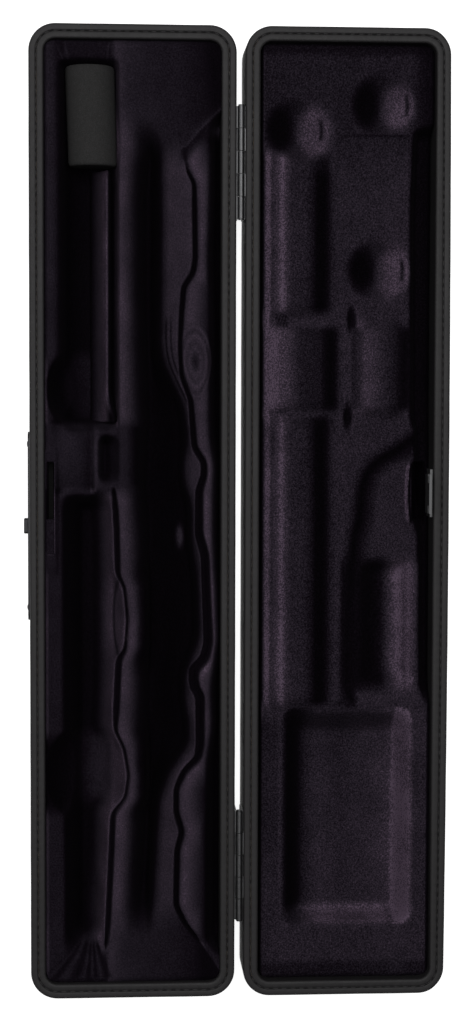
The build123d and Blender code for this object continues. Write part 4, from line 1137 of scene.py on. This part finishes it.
def lid_tray_painted_shading(x, y, z, tucked):
    """The lid tray's painted light and shade: by its slopes, with painted shade in its tucks, dishes, trench and
    pocket and painted light on the faces toward the front.
    """
    tone = paint_slope_light(x, y, z, 0.56, 0.5, 0.8 * tucked, 0.5, 0.15)
    # darker toward the spacer end
    tone = tone * (1 - 0.22 * smooth((-160 - x) / 30))

    # painted shade at the lower ground's edge, in the trench, and along the front wall
    edge = ground_edge(x)
    slope = np.gradient(edge[0], x[0])[None, :]
    past = (y - edge) / np.sqrt(1 + slope**2)
    shade = strip(past, ((-5.5, 0.56), (-3.2, 0.42), (-1.2, 0.22), (0.6, 0.07), (2.6, 0.12), (5.2, 0.30), (9, 0.52)))
    near_edge = smooth((x + 62) / 8) * smooth((98 - x) / 5) * smooth((9 - np.abs(past - 2.0)) / 2.5)
    near_edge = near_edge * (1 - smooth((x - 84) / 4) * smooth((y - 108) / 4))
    tone = laid(tone, near_edge, shade)
    trench = smooth((y - trench_edge(x) + 0.8) / 1.4) * (1 - smooth((x - 84) / 12))
    tone = laid(tone, trench, 0.09)
    beside_wall = smooth((y - 134) / 10) * (1 - smooth((x + 178) / 8))
    tone = laid(tone, 0.8 * beside_wall, 0.12)

    # the pads: painted light along the hinge side, and painted shade where they fall away
    long_pad = strip(y, (
        (62.5, 0.2), (63.9, 0.5), (65.4, 0.95), (67.6, 0.60), (70.0, 0.72), (72.4, 0.98), (74.6, 0.70),
        (76.8, 0.54), (83.6, 0.47), (85.2, 0.40), (87.2, 0.30), (89.2, 0.06), (92.6, 0.05), (94.8, 0.18),
        (97.0, 0.44), (99.5, 0.55),
    ))
    cross_pad = strip(y, (
        (62.5, 0.3), (63.9, 0.65), (66.4, 0.96), (68.9, 0.94), (71.3, 0.84), (76.2, 0.73), (78.7, 0.60),
        (81.2, 0.46), (86.1, 0.39), (91, 0.35), (93.5, 0.14), (96, 0.05), (98.4, 0.14), (100.9, 0.50),
        (103.3, 0.61),
    ))
    small_pad = strip(y, (
        (106.5, 0.44), (108.2, 0.45), (110.7, 0.62), (113.2, 0.79), (115.6, 0.78), (118.1, 0.71), (120.6, 0.61),
        (125.5, 0.46), (128, 0.38), (130.4, 0.25), (132.9, 0.10), (135.4, 0.18),
    ))
    low_side = smooth((102 - y) / 3)
    on_long = smooth((x + 51) / 5) * smooth((95 - x) / 6)
    on_cap = smooth((x + 180 - 9 * smooth((y - 78) / 8)) / 7) * smooth((-98 - x) / 5)
    on_cross = smooth((x + 94) / 4) * smooth((-51 - x) / 4)
    tone = laid(tone, np.maximum(on_long, on_cap) * low_side, long_pad)
    tone = laid(tone, on_cross * smooth((105 - y) / 2), cross_pad)
    tone = laid(tone, on_cross * smooth((y - 105.5) / 2) * smooth((136.5 - y) / 1), small_pad)
    hinge_strip = smooth((x + 179) / 6) * smooth((95 - x) / 6) * smooth((67.2 - y) / 1.2) * smooth((y - 63.5) / 1.5)
    tone = laid(tone, hinge_strip, 0.9)

    # the dishes: painted shade on the hinge side, painted light toward the front, with a thin ridge round the dimple
    # painted as a line of shade beside a highlight
    for centre_x, centre_y, shift, reach in dish_places:
        pale = np.hypot((x - centre_x - 1.0) / reach, (y - centre_y - shift) / 12.0)
        across = strip(y - centre_y, ((-4, 0.30), (-2, 0.46), (0, 0.60), (2.5, 0.75), (5, 0.86), (8, 0.91), (12, 0.86), (16, 0.74)))
        tone = laid(tone, smooth((1.0 - pale) / 0.5), across)
        dark = np.hypot((x - centre_x) / 12.5, (y - centre_y + 8.4) / 8.2)
        tone = laid(tone, smooth((1.15 - dark) / 0.8), 0.05)
        bend = y - centre_y - 11.6 + ((x - centre_x) / 7.0) ** 2
        short = smooth((6.5 - np.abs(x - centre_x)) / 3)
        tone = laid(tone, 0.8 * short * np.exp(-(bend / 0.8) ** 2), 0.25)
        tone = laid(tone, 0.7 * short * np.exp(-((bend - 2.2) / 0.7) ** 2), 0.9)
    # a thin line of painted shade at x -185, and strokes of painted shade in the small wrinkles near x -96
    rim_line = np.exp(-((x + 185.3) / 0.7) ** 2) * smooth((y - 100) / 4) * smooth((136 - y) / 3)
    tone = laid(tone, 0.75 * rim_line, 0.22)
    strokes = smooth((x + 100) / 2) * smooth((-92 - x) / 2) * smooth((y - 69) / 1) * smooth((75.5 - y) / 1)
    tone = laid(tone, 0.8 * strokes * (0.5 + 0.5 * np.cos((y + 0.35 * x) * 4.2)), 0.12)

    # the side recess and the pocket, with painted shade on the walls that face away from the lamp and painted light
    # on those that face it
    recess = strip(y - 2.0, (
        (99, 0.4), (101, 0.16), (106, 0.10), (110, 0.14), (118, 0.09), (121, 0.20), (123.5, 0.50), (126, 0.74),
        (128.6, 0.92), (130.5, 1.0), (132.6, 0.86), (134.4, 1.0), (137, 0.74), (139.5, 0.42), (142, 0.18),
    ))
    in_recess = smooth((x - 17) / 10) * smooth((90 - x) / 10) * smooth((y - 101) / 2) * smooth((142 - y) / 1)
    tone = laid(tone, in_recess, recess)
    pocket = strip(y, (
        (72.5, 0.46), (74.2, 0.28), (76.2, 0.07), (78.7, 0.05), (81.2, 0.15), (83.6, 0.30), (86.1, 0.46),
        (90, 0.57), (94, 0.60), (104, 0.54), (116, 0.59), (125.0, 0.67), (128.4, 0.74), (129.8, 0.98),
        (136.6, 1.0), (138.0, 0.78), (139.2, 0.54),
    ))
    along_pocket = smooth((x - 93.5) / 3) * smooth((203.4 - x) / 2)
    pocket = pocket - 0.06 * (1 - smooth((x - 97) / 45)) * smooth((y - 80) / 6)
    dark_end = smooth((x - 191) / 7) * smooth((88 - y) / 4)
    pocket = pocket + (0.44 - pocket) * dark_end
    lower_wall = smooth((x - 193) / 5) * smooth((y - 79) / 8)
    pocket = pocket + 0.30 * lower_wall * smooth((130 - y) / 6)
    corners = box_distance(x, y, 93.5, 203.6, 72.8, 139.4, 7.0)
    in_pocket = smooth(-corners / 2.0)
    tone = laid(tone, in_pocket, pocket)
    margin = smooth((x - 96) / 8) * smooth((72.5 - y) / 2)
    tone = laid(tone, margin, 0.44 + 0.1 * smooth((x - 150) / 60))

    # painted shade: the ends lie darker, and the cloth beside the hinge wall is in painted shadow
    shaded_end = smooth((x - 219) / 5) * (1 - 0.4 * smooth((y - 118) / 14) * smooth((138 - y) / 6))
    tone = tone * (1 - 0.38 * shaded_end)
    tone = tone * (1 - 0.45 * smooth((-222 - x) / 5))
    return tone * (1 - 0.85 * smooth((63.8 - y) / 1.2))


x, y = tray_grid(lid_middle)
z, tucked = lid_tray_heights(x, y)
tray_points, tray_faces = closed_tray(x, y, z)
# painted light and shade for the tray's top; its sides and underside stay at 0
tray_painted_shading = np.zeros(len(tray_points))
tray_painted_shading[:z.size] = lid_tray_painted_shading(x, y, z, tucked).ravel()
lid_tray = make_piece(
    "lid_tray_velvet", tray_points, tray_faces, lid_velvet, "lid",
    ("lid_core_spacer_end", "lid_core_foot", "lid_core_middle", "lid_core_head_end", "lid_pads", "lid_lining"),
    tray_painted_shading,
)

# --- hinges -----------------------------------------------------------------------------------
# Two long butt hinges of rolled sheet steel, plated gunmetal grey, join the back walls. Each has five
# knuckles on one pin, and three small screws hold each leaf.

gunmetal_dark = (0.07, 0.07, 0.073)
gunmetal_light = (0.13, 0.13, 0.133)

gunmetal = Finish("gunmetal_plating", gunmetal_light, 0.35, {"Metallic": 1.0})
plating = gunmetal.noise(gunmetal.place((0.2, 1.0, 1.0)), 1500.0, 4.0, 0.6)
gunmetal.set("Base Color", gunmetal.tint(plating, gunmetal_dark, gunmetal_light))
gunmetal.set("Roughness", 0.34 + plating * 0.25)
gunmetal.relief(plating, 0.00001)
for end in ("spacer_end", "head_end"):
    gunmetal.dress(f"{end}_hinge_base_leaf", f"{end}_hinge_lid_leaf", f"{end}_hinge_pin")
gunmetal.dress("base_hinge_screws", "lid_hinge_screws")

# --- floor, light and camera ------------------------------------------------------------------
# A plain pale floor under a wide soft lamp on the latch side, drawn toward the spacer end, and a
# camera straight above the open case, as in the photograph.

floor_reach = 6.0
floor_colour = (0.8, 0.8, 0.8)
floor_glow = 0.88

paper = Finish("pale_paper", floor_colour, 0.9, {"Specular IOR Level": 0.0})
paper_fibres = paper.noise(paper.place(), 40.0, 3.0)
paper.set("Base Color", paper.tint(paper_fibres, (0.78, 0.78, 0.78), (0.82, 0.82, 0.82)))
seen = paper.node("ShaderNodeLightPath", output="Is Camera Ray")
mirrored = paper.node("ShaderNodeLightPath", output="Is Glossy Ray")
through = paper.node("ShaderNodeLightPath", output="Is Transmission Ray")
glow = paper.node("ShaderNodeEmission", None, {"Color": (1, 1, 1, 1), "Strength": (seen + mirrored + through) * floor_glow})
lit_paper = paper.node("ShaderNodeAddShader", None, {0: Wire(paper, paper.shader.outputs[0]), 1: glow})
paper.feed(paper.tree.nodes["Material Output"].inputs["Surface"], lit_paper)

floor_mesh = bpy.data.meshes.new("floor")
floor_mesh.from_pydata(
    [(-floor_reach, -floor_reach, 0), (floor_reach, -floor_reach, 0), (floor_reach, floor_reach, 0), (-floor_reach, floor_reach, 0)],
    [], [(0, 1, 2, 3)],
)
floor_mesh.materials.append(paper.material)
floor = bpy.data.objects.new("floor", floor_mesh)
bpy.context.scene.collection.objects.link(floor)

world = bpy.data.worlds.new("studio")
bpy.context.scene.world = world
world.use_nodes = True
sky = world.node_tree
background = sky.nodes["Background"]
background.inputs["Color"].default_value = (1.0, 1.0, 1.0, 1.0)
rays = sky.nodes.new("ShaderNodeLightPath")
visible = sky.nodes.new("ShaderNodeMath")
visible.operation = "ADD"
sky.links.new(rays.outputs["Is Camera Ray"], visible.inputs[0])
sky.links.new(rays.outputs["Is Transmission Ray"], visible.inputs[1])
level = sky.nodes.new("ShaderNodeMapRange")
level.inputs["To Min"].default_value = 0.005
level.inputs["To Max"].default_value = 1.0
sky.links.new(visible.outputs[0], level.inputs["Value"])
sky.links.new(level.outputs["Result"], background.inputs["Strength"])


def lamp(name, place, aim, size, power):
    """A rectangular soft lamp that faces its aim point."""
    light = bpy.data.lights.new(name, "AREA")
    light.shape = "RECTANGLE"
    light.size = size[0]
    light.size_y = size[1]
    light.energy = power
    stand = bpy.data.objects.new(name, light)
    stand.location = place
    stand.rotation_euler = (Vector(aim) - Vector(place)).to_track_quat("-Z", "Y").to_euler()
    bpy.context.scene.collection.objects.link(stand)
    return stand


case_middle = (0.0, 0.052, 0.02)
lamp("long_window", (-0.45, -1.05, 1.2), case_middle, (1.2, 0.55), 3.4)
lamp("ceiling_fill", (-0.35, 0.05, 1.9), case_middle, (1.3, 1.1), 24.0)

camera_place = (-0.0622, -0.01187, 1.032)
camera_aim = Vector((-0.00337, 0.05086, 0.032))
camera_roll = 0.16
film_width = 36.0
lens_length = 72.67

lens = bpy.data.cameras.new("camera")
lens.sensor_fit = "VERTICAL"
lens.sensor_height = film_width
lens.sensor_width = film_width
lens.lens = lens_length
camera = bpy.data.objects.new("camera", lens)
forward = (camera_aim - Vector(camera_place)).normalized()
up = Vector((-1.0, 0.0, 0.0))
right = forward.cross(up).normalized()
up = right.cross(forward).normalized()
roll = math.radians(camera_roll)
turned_right = right * math.cos(roll) + up * math.sin(roll)
turned_up = up * math.cos(roll) - right * math.sin(roll)
camera.matrix_world = Matrix((
    (turned_right.x, turned_up.x, -forward.x, camera_place[0]),
    (turned_right.y, turned_up.y, -forward.y, camera_place[1]),
    (turned_right.z, turned_up.z, -forward.z, camera_place[2]),
    (0, 0, 0, 1),
))
bpy.context.scene.collection.objects.link(camera)
bpy.context.scene.camera = camera
bpy.context.scene.view_settings.view_transform = "Standard"
